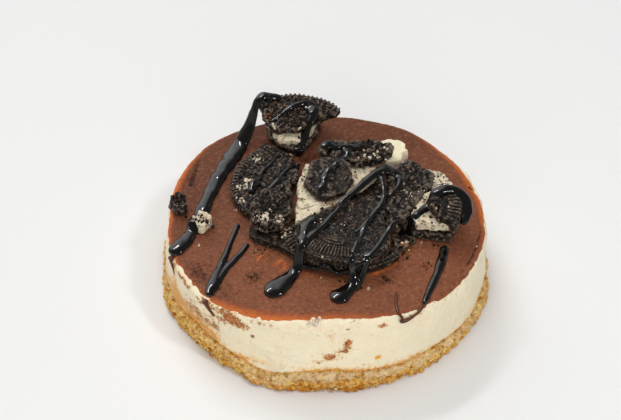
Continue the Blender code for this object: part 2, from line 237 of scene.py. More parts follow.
def apply_modifiers(obj):
    finish = obj.data.materials[0]
    graph = bpy.context.evaluated_depsgraph_get()
    graph.update()
    mesh = bpy.data.meshes.new_from_object(obj.evaluated_get(graph))
    obj.modifiers.clear()
    obj.data = mesh
    mesh.materials.clear()
    mesh.materials.append(finish)
    mesh.shade_smooth()


def redraw(obj, voxel):
    """The object's mesh becomes one even skin of small faces, with what overlapped joined."""
    remesh = obj.modifiers.new("redraw", "REMESH")
    remesh.mode = "VOXEL"
    remesh.voxel_size = voxel * MM
    apply_modifiers(obj)


def smooth_out(obj, times):
    smooth = obj.modifiers.new("smooth", "SMOOTH")
    smooth.factor = 0.5
    smooth.iterations = times
    apply_modifiers(obj)


def ball(subdivisions=1):
    """Points and faces of a small round ball of radius 1."""
    made = bmesh.new()
    bmesh.ops.create_icosphere(made, subdivisions=subdivisions, radius=1)
    points = np.array([v.co for v in made.verts])
    faces = [[v.index for v in f.verts] for f in made.faces]
    made.free()
    return points, faces


def standing_out(obj, times=10):
    """How far each of an even mesh's points stands out of what is round it, in millimetres."""
    points = points_of(obj)
    pairs = np.zeros(len(obj.data.edges) * 2, np.int32)
    obj.data.edges.foreach_get("vertices", pairs)
    here, there = np.concatenate([pairs.reshape(-1, 2), pairs.reshape(-1, 2)[:, ::-1]]).T
    count = np.bincount(here, minlength=len(points))
    even_points = points.copy()
    for _ in range(times):
        sums = [np.bincount(here, even_points[there, axis], len(points)) for axis in range(3)]
        even_points = 0.5 * even_points + 0.5 * np.stack(sums, 1) / np.maximum(count, 1)[:, None]
    return ((points - even_points) * normals_of(obj)).sum(1)


def joined(parts):
    """Points and faces of several (points, faces) in one."""
    points, faces, count = [], [], 0
    for some, their in parts:
        points.append(some)
        faces += [[i + count for i in face] for face in their]
        count += len(some)
    return np.concatenate(points), faces


# Materials.


def add_node(tree, kind, inputs=None, **settings):
    """A shader node. An input is a number, a colour or another node's output."""
    node = tree.nodes.new(kind)
    for key, value in settings.items():
        setattr(node, key, value)
    for key, value in (inputs or {}).items():
        socket = node.inputs[key]
        if isinstance(value, bpy.types.NodeSocket):
            tree.links.new(value, socket)
        else:
            socket.default_value = value
    return node


class Finish:
    """A material of nodes round one Principled shader, with its sizes in millimetres."""

    def __init__(self, name, roughness, specular=0.5, **values):
        self.material = bpy.data.materials.new(name)
        self.material.use_nodes = True
        self.tree = self.material.node_tree
        self.shader = self.tree.nodes["Principled BSDF"]
        self.shader.inputs["Roughness"].default_value = roughness
        self.shader.inputs["Specular IOR Level"].default_value = specular
        for key, value in values.items():
            self.shader.inputs[key.replace("_", " ")].default_value = value
        self.spot = add_node(self.tree, "ShaderNodeTexCoord").outputs["Object"]

    def noise(self, size, detail=3.0, roughness=0.55, stretch=None):
        spot = self.spot
        if stretch:
            spot = add_node(self.tree, "ShaderNodeMapping", {"Vector": spot, "Scale": stretch}).outputs[0]
        inputs = {"Vector": spot, "Scale": 1 / (size * MM), "Detail": detail, "Roughness": roughness}
        return add_node(self.tree, "ShaderNodeTexNoise", inputs).outputs["Fac"]

    def cells(self, size, output="Distance"):
        inputs = {"Vector": self.spot, "Scale": 1 / (size * MM)}
        return add_node(self.tree, "ShaderNodeTexVoronoi", inputs).outputs[output]

    def number(self, name):
        return add_node(self.tree, "ShaderNodeAttribute", attribute_name=name).outputs["Fac"]

    def steps(self, value, *stops):
        """A colour ramp through (place, colour or grey) stops."""
        node = add_node(self.tree, "ShaderNodeValToRGB", {"Fac": value})
        ramp = node.color_ramp
        while len(ramp.elements) < len(stops):
            ramp.elements.new(0.5)
        for element, (place, colour) in zip(ramp.elements, stops):
            element.position = place
            element.color = (*colour, 1) if isinstance(colour, tuple) else (colour, colour, colour, 1)
        return node.outputs["Color"]

    def maths(self, kind, a, b):
        return add_node(self.tree, "ShaderNodeMath", {0: a, 1: b}, operation=kind).outputs[0]

    def mix(self, share, a, b):
        """Colour a with colour b over it by a share."""
        a, b = ((*value, 1) if isinstance(value, tuple) else value for value in (a, b))
        return add_node(self.tree, "ShaderNodeMix", {0: share, 6: a, 7: b}, data_type="RGBA").outputs[2]

    def set(self, colour=None, roughness=None, bump=None):
        """Links the colour and roughness, and bumps given as (height, depth in millimetres) pairs."""
        if colour is not None:
            self.tree.links.new(colour, self.shader.inputs["Base Color"])
        if roughness is not None:
            self.tree.links.new(roughness, self.shader.inputs["Roughness"])
        normal = None
        for height, depth in bump or ():
            inputs = {"Height": height, "Distance": depth * MM, "Strength": 1.0}
            if normal:
                inputs["Normal"] = normal
            normal = add_node(self.tree, "ShaderNodeBump", inputs).outputs["Normal"]
        if normal:
            self.tree.links.new(normal, self.shader.inputs["Normal"])
        return self.material


def crumb_finish():
    it = Finish("golden_crumb", 0.8, 0.3, Subsurface_Weight=0.15, Subsurface_Scale=0.0008)
    grain = it.steps(it.number("grain"), (0.1, (0.44, 0.14, 0.006)), (0.4, (0.74, 0.34, 0.030)),
                     (0.65, (0.94, 0.58, 0.12)), (0.9, (1.0, 0.82, 0.42)))
    patch = it.steps(it.noise(1.7, 5, 0.8), (0.41, (0.36, 0.10, 0.005)), (0.47, (0.80, 0.35, 0.028)),
                     (0.53, (0.96, 0.60, 0.13)), (0.60, (1.0, 0.84, 0.46)))
    colour = it.mix(0.65, grain, patch)
    patchy_darkening = it.steps(it.noise(1.6, 4, 0.7), (0.36, 0.35), (0.6, 1.0))
    # Browner toasted crumb near the foot all round; the much stronger darkening at the front is painted
    # shade.
    colour = it.mix(it.maths("MULTIPLY", it.number("toast"), patchy_darkening), colour, (0.50, 0.17, 0.008))
    paled = it.steps(it.noise(1.3, 5, 0.7), (0.35, 0.15), (0.6, 0.95))
    colour = it.mix(it.maths("MULTIPLY", it.number("pale"), paled), colour, (0.86, 0.68, 0.42))
    # Painted shade: the gaps between the crust's grains are darkened.
    colour = it.mix(it.number("cavity"), colour, (0.34, 0.09, 0.005))
    return it.set(colour, bump=((it.noise(0.9, 5, 0.7), 0.7), (it.cells(0.6), 0.3)))


def cheese_finish():
    it = Finish("cream_cheese", 0.5, 0.3, Subsurface_Weight=0.12, Subsurface_Scale=0.0006)
    tone = it.mix(it.noise(6.0, 4), (0.82, 0.71, 0.49), (0.90, 0.81, 0.61))
    tone = it.mix(it.steps(it.noise(1.6, 5, 0.75), (0.60, 0.0), (0.68, 0.4)), tone, (0.76, 0.66, 0.36))
    drag = it.noise(1.6, 4, stretch=(1, 1, 4))
    tone = it.mix(it.steps(drag, (0.30, 0.8), (0.40, 0.0)), tone, (0.74, 0.60, 0.36))
    bits = it.noise(0.7, 5, 0.75)
    mottle = it.maths("ADD", it.noise(1.6, 3, 0.6), it.maths("MULTIPLY", bits, 1.4))
    smear = it.maths("ADD", it.maths("MULTIPLY", it.number("smear"), 0.75), mottle)
    halo = it.steps(it.maths("MULTIPLY", smear, 0.5), (0.74, 0.0), (0.84, 0.8))
    core = it.steps(it.maths("MULTIPLY", smear, 0.5), (0.84, 0.0), (0.89, 0.95))
    darker = it.steps(it.noise(1.0, 4, 0.7), (0.4, 0.0), (0.6, 1.0))
    core_colour = it.mix(darker, (0.62, 0.20, 0.035), (0.24, 0.06, 0.012))
    tone = it.mix(core, it.mix(halo, tone, (0.78, 0.46, 0.20)), core_colour)
    tan = it.maths("ADD", it.maths("MULTIPLY", it.number("tan"), 0.75), mottle)
    tan_halo = it.steps(it.maths("MULTIPLY", tan, 0.5), (0.68, 0.0), (0.84, 0.85))
    tan_core = it.steps(it.maths("MULTIPLY", tan, 0.5), (0.84, 0.0), (0.92, 0.85))
    tone = it.mix(tan_core, it.mix(tan_halo, tone, (0.80, 0.52, 0.22)), (0.66, 0.28, 0.035))
    tone = it.mix(it.number("dot"), tone, (0.28, 0.08, 0.015))
    tone = it.mix(it.number("gold"), tone, (0.78, 0.36, 0.015))
    pores = it.steps(it.cells(1.3), (0.05, 0.0), (0.22, 1.0))
    return it.set(tone, bump=((drag, 0.12), (pores, 0.08), (it.noise(0.9, 5, 0.7), 0.14), (core, 0.2)))


def glaze_finish():
    it = Finish("chocolate_glaze_satin", 0.45, 0.07)
    tone = it.mix(it.noise(9.0, 4), (0.170, 0.058, 0.028), (0.255, 0.090, 0.045))
    # Painted shade: the glaze is darker towards the back and the left.
    tone = it.mix(it.number("deep"), tone, (0.110, 0.038, 0.020))
    tone = it.mix(it.steps(it.noise(1.1, 5, 0.8), (0.50, 0.0), (0.66, 0.45)), tone, (0.42, 0.19, 0.11))
    tone = it.mix(it.steps(it.noise(1.3, 5, 0.8), (0.34, 0.8), (0.48, 0.0)), tone, (0.080, 0.026, 0.014))
    stain = it.maths("ADD", it.number("stain"), it.maths("MULTIPLY", it.noise(1.6, 6, 0.8), 3.0))
    # Dark stains, and painted shade along the groove and the dent inside the rim.
    stain_and_dent_shade_mask = it.steps(it.maths("SUBTRACT", stain, 1.55), (0.35, 0.0), (0.9, 0.85))
    tone = it.mix(stain_and_dent_shade_mask, tone, (0.040, 0.012, 0.006))
    warm = it.maths("ADD", it.number("orange"), it.maths("MULTIPLY", it.noise(1.3, 5, 0.7), 0.7))
    warm = it.maths("MULTIPLY", warm, 0.7)
    thin = it.steps(warm, (0.32, 0.0), (0.56, 0.55), (0.8, 1.0))
    tone = it.mix(thin, tone, it.steps(warm, (0.40, (0.34, 0.080, 0.026)), (0.85, (0.58, 0.150, 0.036))))
    rough = it.steps(it.noise(1.2, 4), (0.3, 0.38), (0.7, 0.55))
    return it.set(tone, rough, ((it.noise(0.8, 5, 0.7), 0.10), (it.noise(4.0, 3), 0.12)))


def wafer_finish():
    """Nearly black in the hollows and paler brown on what stands out, with pale flecks: painted shade in the
    hollows and painted light on the raised parts.
    """
    it = Finish("dark_biscuit", 0.55, 0.35)
    grit = it.maths("MULTIPLY", it.maths("SUBTRACT", it.noise(0.65, 4, 0.75), 0.5), 2.2)
    # Painted shade and light: how far a point stands out darkens the hollows and lightens the raised parts.
    relief_light_and_shade = it.maths("ADD", it.number("relief_light_and_shade"), grit)
    tone = it.steps(relief_light_and_shade, (0.30, (0.003, 0.002, 0.0015)), (0.52, (0.020, 0.014, 0.009)),
                    (0.72, (0.072, 0.053, 0.038)), (0.96, (0.220, 0.165, 0.120)))
    russet = it.steps(it.noise(5.0, 3), (0.50, 0.0), (0.68, 0.35))
    # The russet tint follows the same painted light and shade of the relief.
    tone = it.mix(russet, tone, it.steps(relief_light_and_shade, (0.3, (0.010, 0.004, 0.002)), (0.8, (0.13, 0.055, 0.025))))
    flecks = it.steps(it.cells(0.75, "Color"), (0.88, 0.0), (0.93, 0.8))
    tone = it.mix(flecks, tone, (0.24, 0.18, 0.13))
    rough = it.steps(it.noise(1.8, 5, 0.7), (0.44, 0.16), (0.56, 0.72))
    return it.set(tone, rough, ((it.noise(0.9, 5, 0.75), 0.55), (it.cells(0.6), 0.2)))


def cream_finish():
    it = Finish("biscuit_cream_filling", 0.6, 0.3, Subsurface_Weight=0.15, Subsurface_Scale=0.001)
    tone = it.mix(it.noise(3.0, 4), (0.84, 0.70, 0.46), (0.96, 0.86, 0.66))
    tone = it.mix(it.steps(it.noise(1.8, 4, 0.7), (0.54, 0.0), (0.66, 0.5)), tone, (0.66, 0.46, 0.24))
    dusty = it.steps(it.noise(2.6, 5, 0.7), (0.56, 0.0), (0.64, 0.9))
    tone = it.mix(dusty, tone, (0.12, 0.08, 0.055))
    specks = it.steps(it.noise(1.1, 5, 0.75), (0.56, 0.0), (0.61, 1.0))
    tone = it.mix(specks, tone, (0.020, 0.013, 0.010))
    return it.set(tone, bump=((it.noise(0.9, 6, 0.75), 0.6), (it.cells(0.7), 0.2)))


def slab_finish():
    it = Finish("smooth_biscuit_cream", 0.55, 0.35, Subsurface_Weight=0.15, Subsurface_Scale=0.001)
    tone = it.mix(it.noise(3.0, 4), (0.88, 0.77, 0.50), (0.96, 0.88, 0.66))
    specks = it.steps(it.noise(0.9, 5, 0.7), (0.68, 0.0), (0.72, 1.0))
    tone = it.mix(specks, tone, (0.05, 0.03, 0.02))
    return it.set(tone, bump=((it.noise(0.9, 5, 0.7), 0.25),))


def syrup_finish():
    it = Finish("glossy_syrup", 0.05, 0.6, IOR=1.5)
    tone = it.mix(it.noise(2.0, 2), (0.002, 0.002, 0.002), (0.006, 0.005, 0.004))
    return it.set(tone, it.steps(it.noise(2.5, 2), (0.35, 0.03), (0.7, 0.07)), ((it.noise(3.2, 0), 0.35),))


def thin_syrup_finish():
    it = Finish("thin_syrup", 0.18, 0.5, IOR=1.45)
    tone = it.mix(it.noise(0.9, 4), (0.03, 0.009, 0.005), (0.16, 0.05, 0.02))
    return it.set(tone, bump=((it.noise(0.6), 0.08),))


def loose_crumb_finish(name, roughness, specular, size, low, high):
    """Biscuit crumbs of two colours, in patches of a size."""
    it = Finish(name, roughness, specular)
    share = it.steps(it.noise(size, 4, 0.7), (0.4, 0.0), (0.62, 1.0))
    return it.set(it.mix(share, low, high), bump=((it.noise(0.4, 3), 0.1),))


def brown_crumb_finish():
    it = Finish("brown_crumb", 0.7, 0.3)
    tone = it.mix(it.noise(1.5, 3), (0.16, 0.05, 0.018), (0.42, 0.17, 0.05))
    return it.set(tone, bump=((it.noise(0.4, 3), 0.1),))


FINISHES = {
    "crumb": crumb_finish(),
    "cheese": cheese_finish(),
    "glaze": glaze_finish(),
    "wafer": wafer_finish(),
    "cream": cream_finish(),
    "slab": slab_finish(),
    "syrup": syrup_finish(),
    "thin_syrup": thin_syrup_finish(),
    "pale": loose_crumb_finish("pale_crumb", 0.7, 0.3, 3.0, (0.52, 0.40, 0.29), (0.88, 0.78, 0.62)),
    "dark": loose_crumb_finish("dark_crumb", 0.75, 0.25, 2.6, (0.006, 0.004, 0.003), (0.040, 0.026, 0.018)),
    "brown": brown_crumb_finish(),
}


# The cake.


def ring(radius, height):
    """A ring round the cake. radius and height are numbers, or one number for each of its points."""
    radius, height = np.broadcast_to(radius, STEPS), np.broadcast_to(height, STEPS)
    return np.stack([radius * np.cos(TURNS), radius * np.sin(TURNS), height], 1)


def outward(points):
    """Unit vectors from the cake's axis, level."""
    flat = points * (1, 1, 0)
    return flat / np.maximum(np.linalg.norm(flat, axis=-1, keepdims=True), 1e-6)


def angle_of(points):
    return np.degrees(np.arctan2(points[:, 1], points[:, 0])) % 360


def patches(points, spots):
    """The sum of soft patches on the cake's side: (angle, height, half width, half height, share)."""
    degrees = angle_of(points)
    total = np.zeros(len(points))
    for angle, height, half_width, half_height, share in spots:
        away = (degrees - angle + 180) % 360 - 180
        total += share * np.exp(-((away / half_width) ** 2) - ((points[:, 2] - height) / half_height) ** 2)
    return np.clip(total, 0, 1.2)


def with_middles(numbers):
    """Numbers for the points of a skin's rows, with 0 for the two middle points of its ends."""
    return {key: np.concatenate([values, (0, 0)]) for key, values in numbers.items()}


SIDE_FOOT = FILLING_RADIUS + FILLING_SPREAD
SEAM = BASE_HEIGHT + bumped(DEGREES, SEAM_BUMPS)
FOOT = BASE_RADIUS + bumped(DEGREES, FOOT_BUMPS)
TOP_SHIFT = bumped(DEGREES, TOP_BUMPS)


def make_base():
    rings = [ring(FOOT - 6, 0.0), ring(FOOT - 1.3, 0.0), ring(FOOT - 0.3, 0.7), ring(FOOT, 3.0),
             ring(SIDE_FOOT + 0.5, SEAM - 1.6), ring(SIDE_FOOT - 0.2, SEAM - 0.1), ring(SIDE_FOOT - 3, SEAM)]
    rows = through(rings, (4, 5, 7, 10, 6, 5))
    counts = np.repeat(np.arange(len(rows)), STEPS)
    points = rows.reshape(-1, 3)
    coarse, own = grains(points, 1.9, 3)
    fine, fine_own = grains(points, 0.95, 8)
    lumps = fractal(points, 4.5, 3, 5)
    share = smoothstep(3, 8, counts) * (1 - 0.6 * smoothstep(len(rows) - 6, len(rows) - 1, counts))
    swell = 1.2 * (coarse - 0.45) + 0.7 * (fine - 0.5) + 0.75 * lumps
    points = points + outward(points) * (swell * share)[:, None]
    points[:, 2] += 0.35 * share * fractal(points, 2.0, 2, 9)
    points[:, 2] = np.maximum(points[:, 2], 0.0)
    rows = points.reshape(rows.shape)
    seam = np.tile(SEAM, len(rows))
    degrees = np.tile(DEGREES, len(rows))
    pale = smoothstep(seam - 3.8, seam - 1.4, points[:, 2] + 0.7 * lumps)
    pale *= 0.45 + bumped(degrees, ((272, 0.55, 22), (312, 0.45, 24), (215, -0.3, 12)))
    # Browner near the foot as toasting, and darker at the front as painted shade.
    toast = smoothstep(2.6, 0.2, points[:, 2] - 0.8 * lumps)
    toast *= 0.2 + bumped(degrees, ((275, 0.8, 28),))
    toast += bumped(degrees, ((276, 0.45, 20),))
    # Grain tone, with painted light: lighter at the left side and darker at the front.
    mixed = 0.5 + 0.3 * own + 0.22 * fine_own + bumped(degrees, ((215, 0.12, 40), (275, -0.1, 20)))
    # Painted shade that darkens the gaps between grains.
    cavity = 0.6 * smoothstep(0.35, 0.05, 0.7 * coarse + 0.3 * fine)
    numbers = {"grain": mixed, "pale": pale, "toast": toast, "cavity": cavity}
    return add_piece("base_crust", *skin(rows), FINISHES["crumb"], with_middles(numbers))


# Marks on the cheese's side, as (angle, height, half width in degrees, half height, share).
SMEARS = (
    (205, 24.2, 7, 1.2, 0.8), (216, 24.4, 5, 1.2, 0.8), (228, 24.0, 4, 1.6, 0.85), (236, 24.0, 4, 1.6, 0.8),
    (239, 22.2, 4, 2.2, 0.7), (243, 21.0, 3, 1.6, 0.7), (233, 20.4, 4, 2.0, 0.6), (249, 24.0, 5, 1.0, 0.6),
    (217, 14.9, 6, 2.6, 0.65), (224, 15.0, 5, 2.6, 0.7), (231, 15.5, 4, 2.8, 0.65), (222, 19.5, 6, 2.6, 0.6),
    (273, 21.0, 2.4, 2.6, 0.55), (278, 18.6, 2.0, 1.8, 0.9), (277, 16.2, 3.0, 1.4, 0.7),
    (272, 14.0, 3.4, 1.4, 0.75), (267, 12.4, 3.0, 1.0, 0.6), (262, 24.2, 8, 0.9, 0.35),
    (290, 24.0, 2.2, 1.0, 0.8), (301, 24.4, 3, 0.8, 0.7),
)
TANS = (
    (208, 12.5, 7, 4.5, 0.95), (220, 12.0, 8, 3.4, 0.9), (230, 11.0, 5, 3.2, 0.8), (206, 18.5, 4, 4.0, 0.5),
    (243, 8.5, 8, 1.5, 0.7), (272, 9.6, 16, 1.3, 0.6), (300, 8.4, 14, 1.1, 0.5), (345, 7.4, 16, 1.6, 0.6),
    (195, 10.5, 10, 3.0, 0.7), (40, 9.0, 60, 1.2, 0.5), (130, 9.0, 60, 1.4, 0.5),
)
DOTS = ((246, 18.5, 0.9, 0.7, 1.2), (278, 23.7, 0.6, 0.5, 1.2), (277.5, 18.4, 0.8, 0.5, 1.2))
GOLDS = ((288, 12.2, 1.3, 1.0, 1.2), (256, 15.0, 0.4, 0.3, 0.7), (283, 10.6, 0.7, 0.5, 0.8))


def make_filling():
    top = FILLING_RADIUS + TOP_SHIFT
    front = bumped(DEGREES, ((276, 1.0, 24),))  # here the glaze stops short of the edge
    shoulder = GLAZE_TOP - 0.9 + 0.35 * front
    rings = [
        ring(SIDE_FOOT - 4, SEAM - 0.6),
        ring(SIDE_FOOT - 0.9, SEAM - 0.2),
        ring(SIDE_FOOT - 0.1, SEAM + 0.7),
        ring(SIDE_FOOT - 0.4 + 0.4 * TOP_SHIFT, 0.6 * SEAM + 0.4 * FILLING_TOP),
        ring(top + 0.25, FILLING_TOP - 4.5),
        ring(top + 0.1, FILLING_TOP - 1.2),
        ring(top - 0.55, shoulder),
        ring(top - 2.2, shoulder + 0.35),
        ring(top - 4.5, FILLING_TOP + 0.1),
    ]
    rows = through(rings, (2, 4, 14, 16, 9, 5, 5, 4))
    counts = np.repeat(np.arange(len(rows)), STEPS)
    points = rows.reshape(-1, 3)
    share = smoothstep(2, 6, counts)
    along = np.stack([np.tile(TURNS * 50, len(rows)), np.zeros(len(points)), points[:, 2] * 5], 1)
    lumps = fractal(points, 7.0, 3, 21)
    drag = noise(along, 5.0, 23)
    pits = np.minimum(fractal(points, 1.7, 3, 27) + 0.55, 0)
    lip = smoothstep(FILLING_TOP - 2.5, FILLING_TOP + 0.4, points[:, 2])
    swell = 0.38 * lumps + 0.10 * drag + 0.55 * pits + lip * 0.45 * fractal(points, 1.6, 3, 29)
    points = points + outward(points) * (swell * share)[:, None]
    points[:, 2] += lip * 0.22 * fractal(points, 2.1, 3, 31)
    rows = points.reshape(rows.shape)
    over_seam = points[:, 2] - np.tile(SEAM, len(rows))
    numbers = {
        "smear": patches(points, SMEARS),
        "tan": np.clip(patches(points, TANS) + 0.8 * smoothstep(1.6, 0.2, over_seam), 0, 1.1),
        "dot": smoothstep(0.45, 0.75, patches(points, DOTS)),
        "gold": smoothstep(0.45, 0.75, patches(points, GOLDS)),
    }
    return add_piece("cream_cheese", *skin(rows), FINISHES["cheese"], with_middles(numbers))


# Bumps for the width of the glaze's thin orange edge, and for how far it stops short of the cheese's.
ORANGE_RIM = ((168, 2.8, 32), (22, 3.0, 34), (252, 3.8, 26), (285, 2.0, 18), (340, 0.5, 20), (95, 0.6, 30))
SHORT_RIM = ((276, 1.3, 24), (222, 0.4, 12), (24, 0.5, 34))
# Scraped streaks in the glaze: ends (x, y), width and strength.
STREAKS = (
    ((-17.9, -18.6), (-20.6, -22.6), 0.5, 0.9),
    ((-16.2, -20.2), (-18.6, -23.4), 0.4, 0.6),
    ((-13.4, -22.4), (-15.4, -25.0), 1.0, 0.7),
    ((-11.4, -23.6), (-12.6, -26.0), 0.9, 0.8),
    ((-6.2, -26.6), (-7.6, -29.2), 0.5, 0.9),
    ((-4.6, -27.2), (-6.2, -29.4), 0.5, 0.8),
    ((-3.0, -28.0), (-4.2, -29.8), 0.4, 0.6),
    ((21.4, -22.8), (15.6, -27.4), 1.1, 0.9),
    ((15.6, -27.2), (12.6, -29.0), 0.9, 0.5),
)
# Dark stains: (x, y, size, strength).
STAINS = (
    (-21.3, -30.1, 3.2, 0.9), (-18.0, -21.0, 4.0, 0.5), (-30.0, -36.0, 5.0, 0.35), (18.0, -30.6, 2.6, 0.8),
    (-12.0, -27.0, 3.0, 0.5), (30.2, -24.6, 2.2, 0.5), (-38.0, -28.0, 6.0, 0.4), (-44.0, 14.0, 4.0, 0.5),
    (26.8, 22.4, 1.4, 0.8), (4.0, -29.0, 4.0, 0.4), (-6.0, 26.0, 4.0, 0.5),
)


def line_share(points, a, b, width):
    """1 on the line from a to b, seen from above, and 0 further off than about width."""
    a, b = np.array(a), np.array(b)
    run = b - a
    along = np.clip(((points[:, :2] - a) @ run) / (run @ run), 0, 1)
    away = np.linalg.norm(points[:, :2] - a - along[:, None] * run, axis=1)
    return np.exp(-((away / width) ** 2))


def make_glaze():
    edge = GLAZE_RADIUS + TOP_SHIFT - bumped(DEGREES, SHORT_RIM)
    wobble = ring(edge, GLAZE_TOP)
    ragged = 0.45 + bumped(DEGREES, ((205, 0.5, 16), (350, 0.3, 30)))
    edge = edge + ragged * (0.5 * fractal(wobble, 3.6, 3, 41) + 0.14 * noise(wobble, 1.1, 47))
    drop = 0.15 * bumped(DEGREES, ((276, 1.0, 24),))
    rings = [
        ring(edge - 2.6, GLAZE_TOP - 1.5),
        ring(edge - 0.6, GLAZE_TOP - 1.2),
        ring(edge, GLAZE_TOP - 0.9),
        ring(edge - 0.45, GLAZE_TOP - 0.36 + drop),
        ring(edge - 1.7, GLAZE_TOP - 0.02),
        ring(edge - 3.2, GLAZE_TOP),
        ring(GLAZE_RADIUS - 6.5, GLAZE_TOP),
    ]
    rows = list(through(rings, (2, 3, 3, 5, 5, 9)))
    rows += [ring(radius, GLAZE_TOP) for radius in np.linspace(GLAZE_RADIUS - 7, 1.0, 68)]
    rows = np.array(rows)
    points = rows.reshape(-1, 3)
    counts = np.repeat(np.arange(len(rows)), STEPS)
    share = smoothstep(4, 12, counts)
    inside = np.tile(edge, len(rows)) - np.linalg.norm(points[:, :2], axis=1)
    degrees = angle_of(points)
    lip = bumped(degrees, ((340, 1.0, 17), (160, 0.5, 20)))
    orange = np.clip(1 - inside / (0.5 + bumped(degrees, ORANGE_RIM)), 0, 1)
    orange *= 0.35 + bumped(degrees, ((165, 0.7, 40), (20, 0.75, 40), (255, 0.55, 34), (335, -0.15, 20)))
    streak = sum(strength * line_share(points, a, b, width) for a, b, width, strength in STREAKS)
    streak *= 0.75 + 0.5 * noise(points, 0.9, 51)
    groove = line_share(points, (-42.0, 25.0), (-43.6, 12.0), 0.7)
    groove += 0.6 * line_share(points, (24, 36), (30, 33), 0.7)
    dents = 0.14 * fractal(points, 10.0, 3, 43) + 0.05 * noise(points, 2.6, 45) - 0.35 * groove
    dents -= lip * 0.3 * np.exp(-(((inside - 1.7) / 0.35) ** 2)) + 0.25 * np.clip(streak, 0, 1)
    points = points + np.stack([0 * dents, 0 * dents, share * dents], 1)
    rows = points.reshape(rows.shape)
    stain = np.zeros(len(points))
    for x, y, size, strength in STAINS:
        stain += strength * np.exp(-(((points[:, 0] - x) ** 2 + (points[:, 1] - y) ** 2) / size**2))
    # The groove and the dent inside the rim are darkened as painted shade, as is a band inside the rim at
    # the left front and the right.
    stain += 0.8 * groove + lip * np.exp(-(((inside - 1.7) / 0.4) ** 2))
    stain += 0.35 * bumped(degrees, ((222, 1.0, 22), (0, 0.4, 40))) * np.exp(-((inside - 4) / 4) ** 2)
    # Painted shade, growing towards the back and the left.
    deep = 0.75 * smoothstep(-16, 30, points[:, 1] - 0.5 * points[:, 0])
    numbers = {"orange": np.clip(orange + streak, 0, 1.1), "stain": np.clip(stain, 0, 1), "deep": deep}
    return add_piece("glaze", *skin(rows), FINISHES["glaze"], with_middles(numbers))


# The broken biscuits.


def broken_points(corners, draw):
    """Points along a broken edge through corners, moved a little off the straight."""
    found = []
    for a, b in zip(corners, corners[1:]):
        run = Vector(b) - Vector(a)
        side = Vector((-run.y, run.x)).normalized()
        count = max(1, round(run.length / BREAK_STEP))
        for i in range(1, count + 1):
            found.append(Vector(a) + run * (i / count) + side * draw.uniform(-BREAK_JAG, BREAK_JAG))
    return found[:-1]


def rim_points(centre, arc, radius, fluted, flute=FLUTE_DEPTH):
    """Points along a wafer's rim, with rounded flutes."""
    start, end = arc
    step = 180 / FLUTES if fluted else RIM_STEP
    count = max(2, round((end - start) / step))
    finer = 5 if fluted else 4
    found = []
    for i in range(count * finer + 1):
        turn = math.radians(start + (end - start) * i / (count * finer))
        inset = flute * (0.5 - 0.5 * math.cos(math.pi * i / finer)) if fluted else 0.0
        found.append(Vector(centre) + (radius - inset) * Vector((math.cos(turn), math.sin(turn))))
    return found


def outline(centre, arc, corners, radius, fluted, seed, flute):
    draw = random.Random(seed)
    if arc is None:
        return [Vector(corners[0]), *broken_points([*corners, corners[0]], draw)]
    rim = rim_points(centre, arc, radius, fluted, flute)
    return rim + broken_points([rim[-1], *corners, rim[0]], draw)


def motifs(r, turn, count, radius, half_along, half_out, slant=0.0, phase=0.0):
    """Height from 0 to 1 of a ring of like raised ovals round a biscuit's face."""
    span = 2 * math.pi / count
    along = ((turn / span + phase) % 1 - 0.5) * span * radius
    out = r - radius
    c, s = math.cos(slant), math.sin(slant)
    reach = np.hypot((along * c + out * s) / half_along, (out * c - along * s) / half_out)
    return smoothstep(1.15, 0.7, reach)


def ribs(r, turn, inner, outer, count, start):
    """Ribs between two radii of a biscuit's face, count to the turn, the first at start degrees."""
    wave = 0.5 + 0.5 * np.cos(count * (turn - math.radians(start)))
    return wave * smoothstep(inner - 0.3, inner + 0.3, r) * smoothstep(outer, outer - 0.6, r)


def moulding(r, turn):
    """The moulded pattern on a biscuit's face inside its ribs: rings of ovals and studs."""
    rim = np.exp(-(((r - 9.6) / 0.4) ** 2))
    ovals = motifs(r, turn, 8, 13.9, 4.3, 1.9, 0.0, 0.9) + motifs(r, turn, 9, 7.0, 0.9, 1.7, 0.4)
    slots = motifs(r, turn, 8, 14.8, 2.8, 0.4, 0.0, 0.9)
    studs = motifs(r, turn, 8, 13.9, 0.6, 0.6, 0.0, 0.4) + motifs(r, turn, 9, 7.0, 0.5, 0.5, 0.0, 0.5)
    return np.clip(0.5 * rim + ovals - slots + 0.6 * studs, 0, 1)


def chunk(draw):
    """Points and faces of one small angular chunk of radius about 1. draw is a numpy generator."""
    points, faces = ball(1)
    dents = 1 + 0.32 * draw.uniform(-1, 1, (len(points), 1))
    turned = np.array(Matrix.Rotation(draw.uniform(0, 6.3), 3, ("X", "Y", "Z")[draw.integers(3)]))
    return (points * dents * draw.uniform(0.65, 1.25, 3)) @ turned, faces


def crumbled(edge, middle, thick, seed, share):
    """Chunks along a fragment's broken edge, as (points, faces) parts round its middle."""
    draw = np.random.default_rng(seed)
    parts = []
    for p in edge:
        if draw.random() > share:
            continue
        size = draw.uniform(0.35, 1.0)
        at = p - middle
        at *= 1 - draw.uniform(0.3, 1.0) / max(at.length, 1)
        points, faces = chunk(draw)
        parts.append((points * size + (at.x, at.y, draw.uniform(0.1, 0.95) * thick), faces))
    return parts


def crumbly_swell(spot):
    """The unevenness of broken biscuit, in coarse and fine lumps and grains."""
    return (0.6 * fractal(spot, 2.8, 3, 1) + 0.42 * fractal(spot, 1.1, 2, 9)
            + 0.35 * (grains(spot, 2.0, 2)[0] - 0.4) + 0.2 * (grains(spot, 0.8, 6)[0] - 0.4))


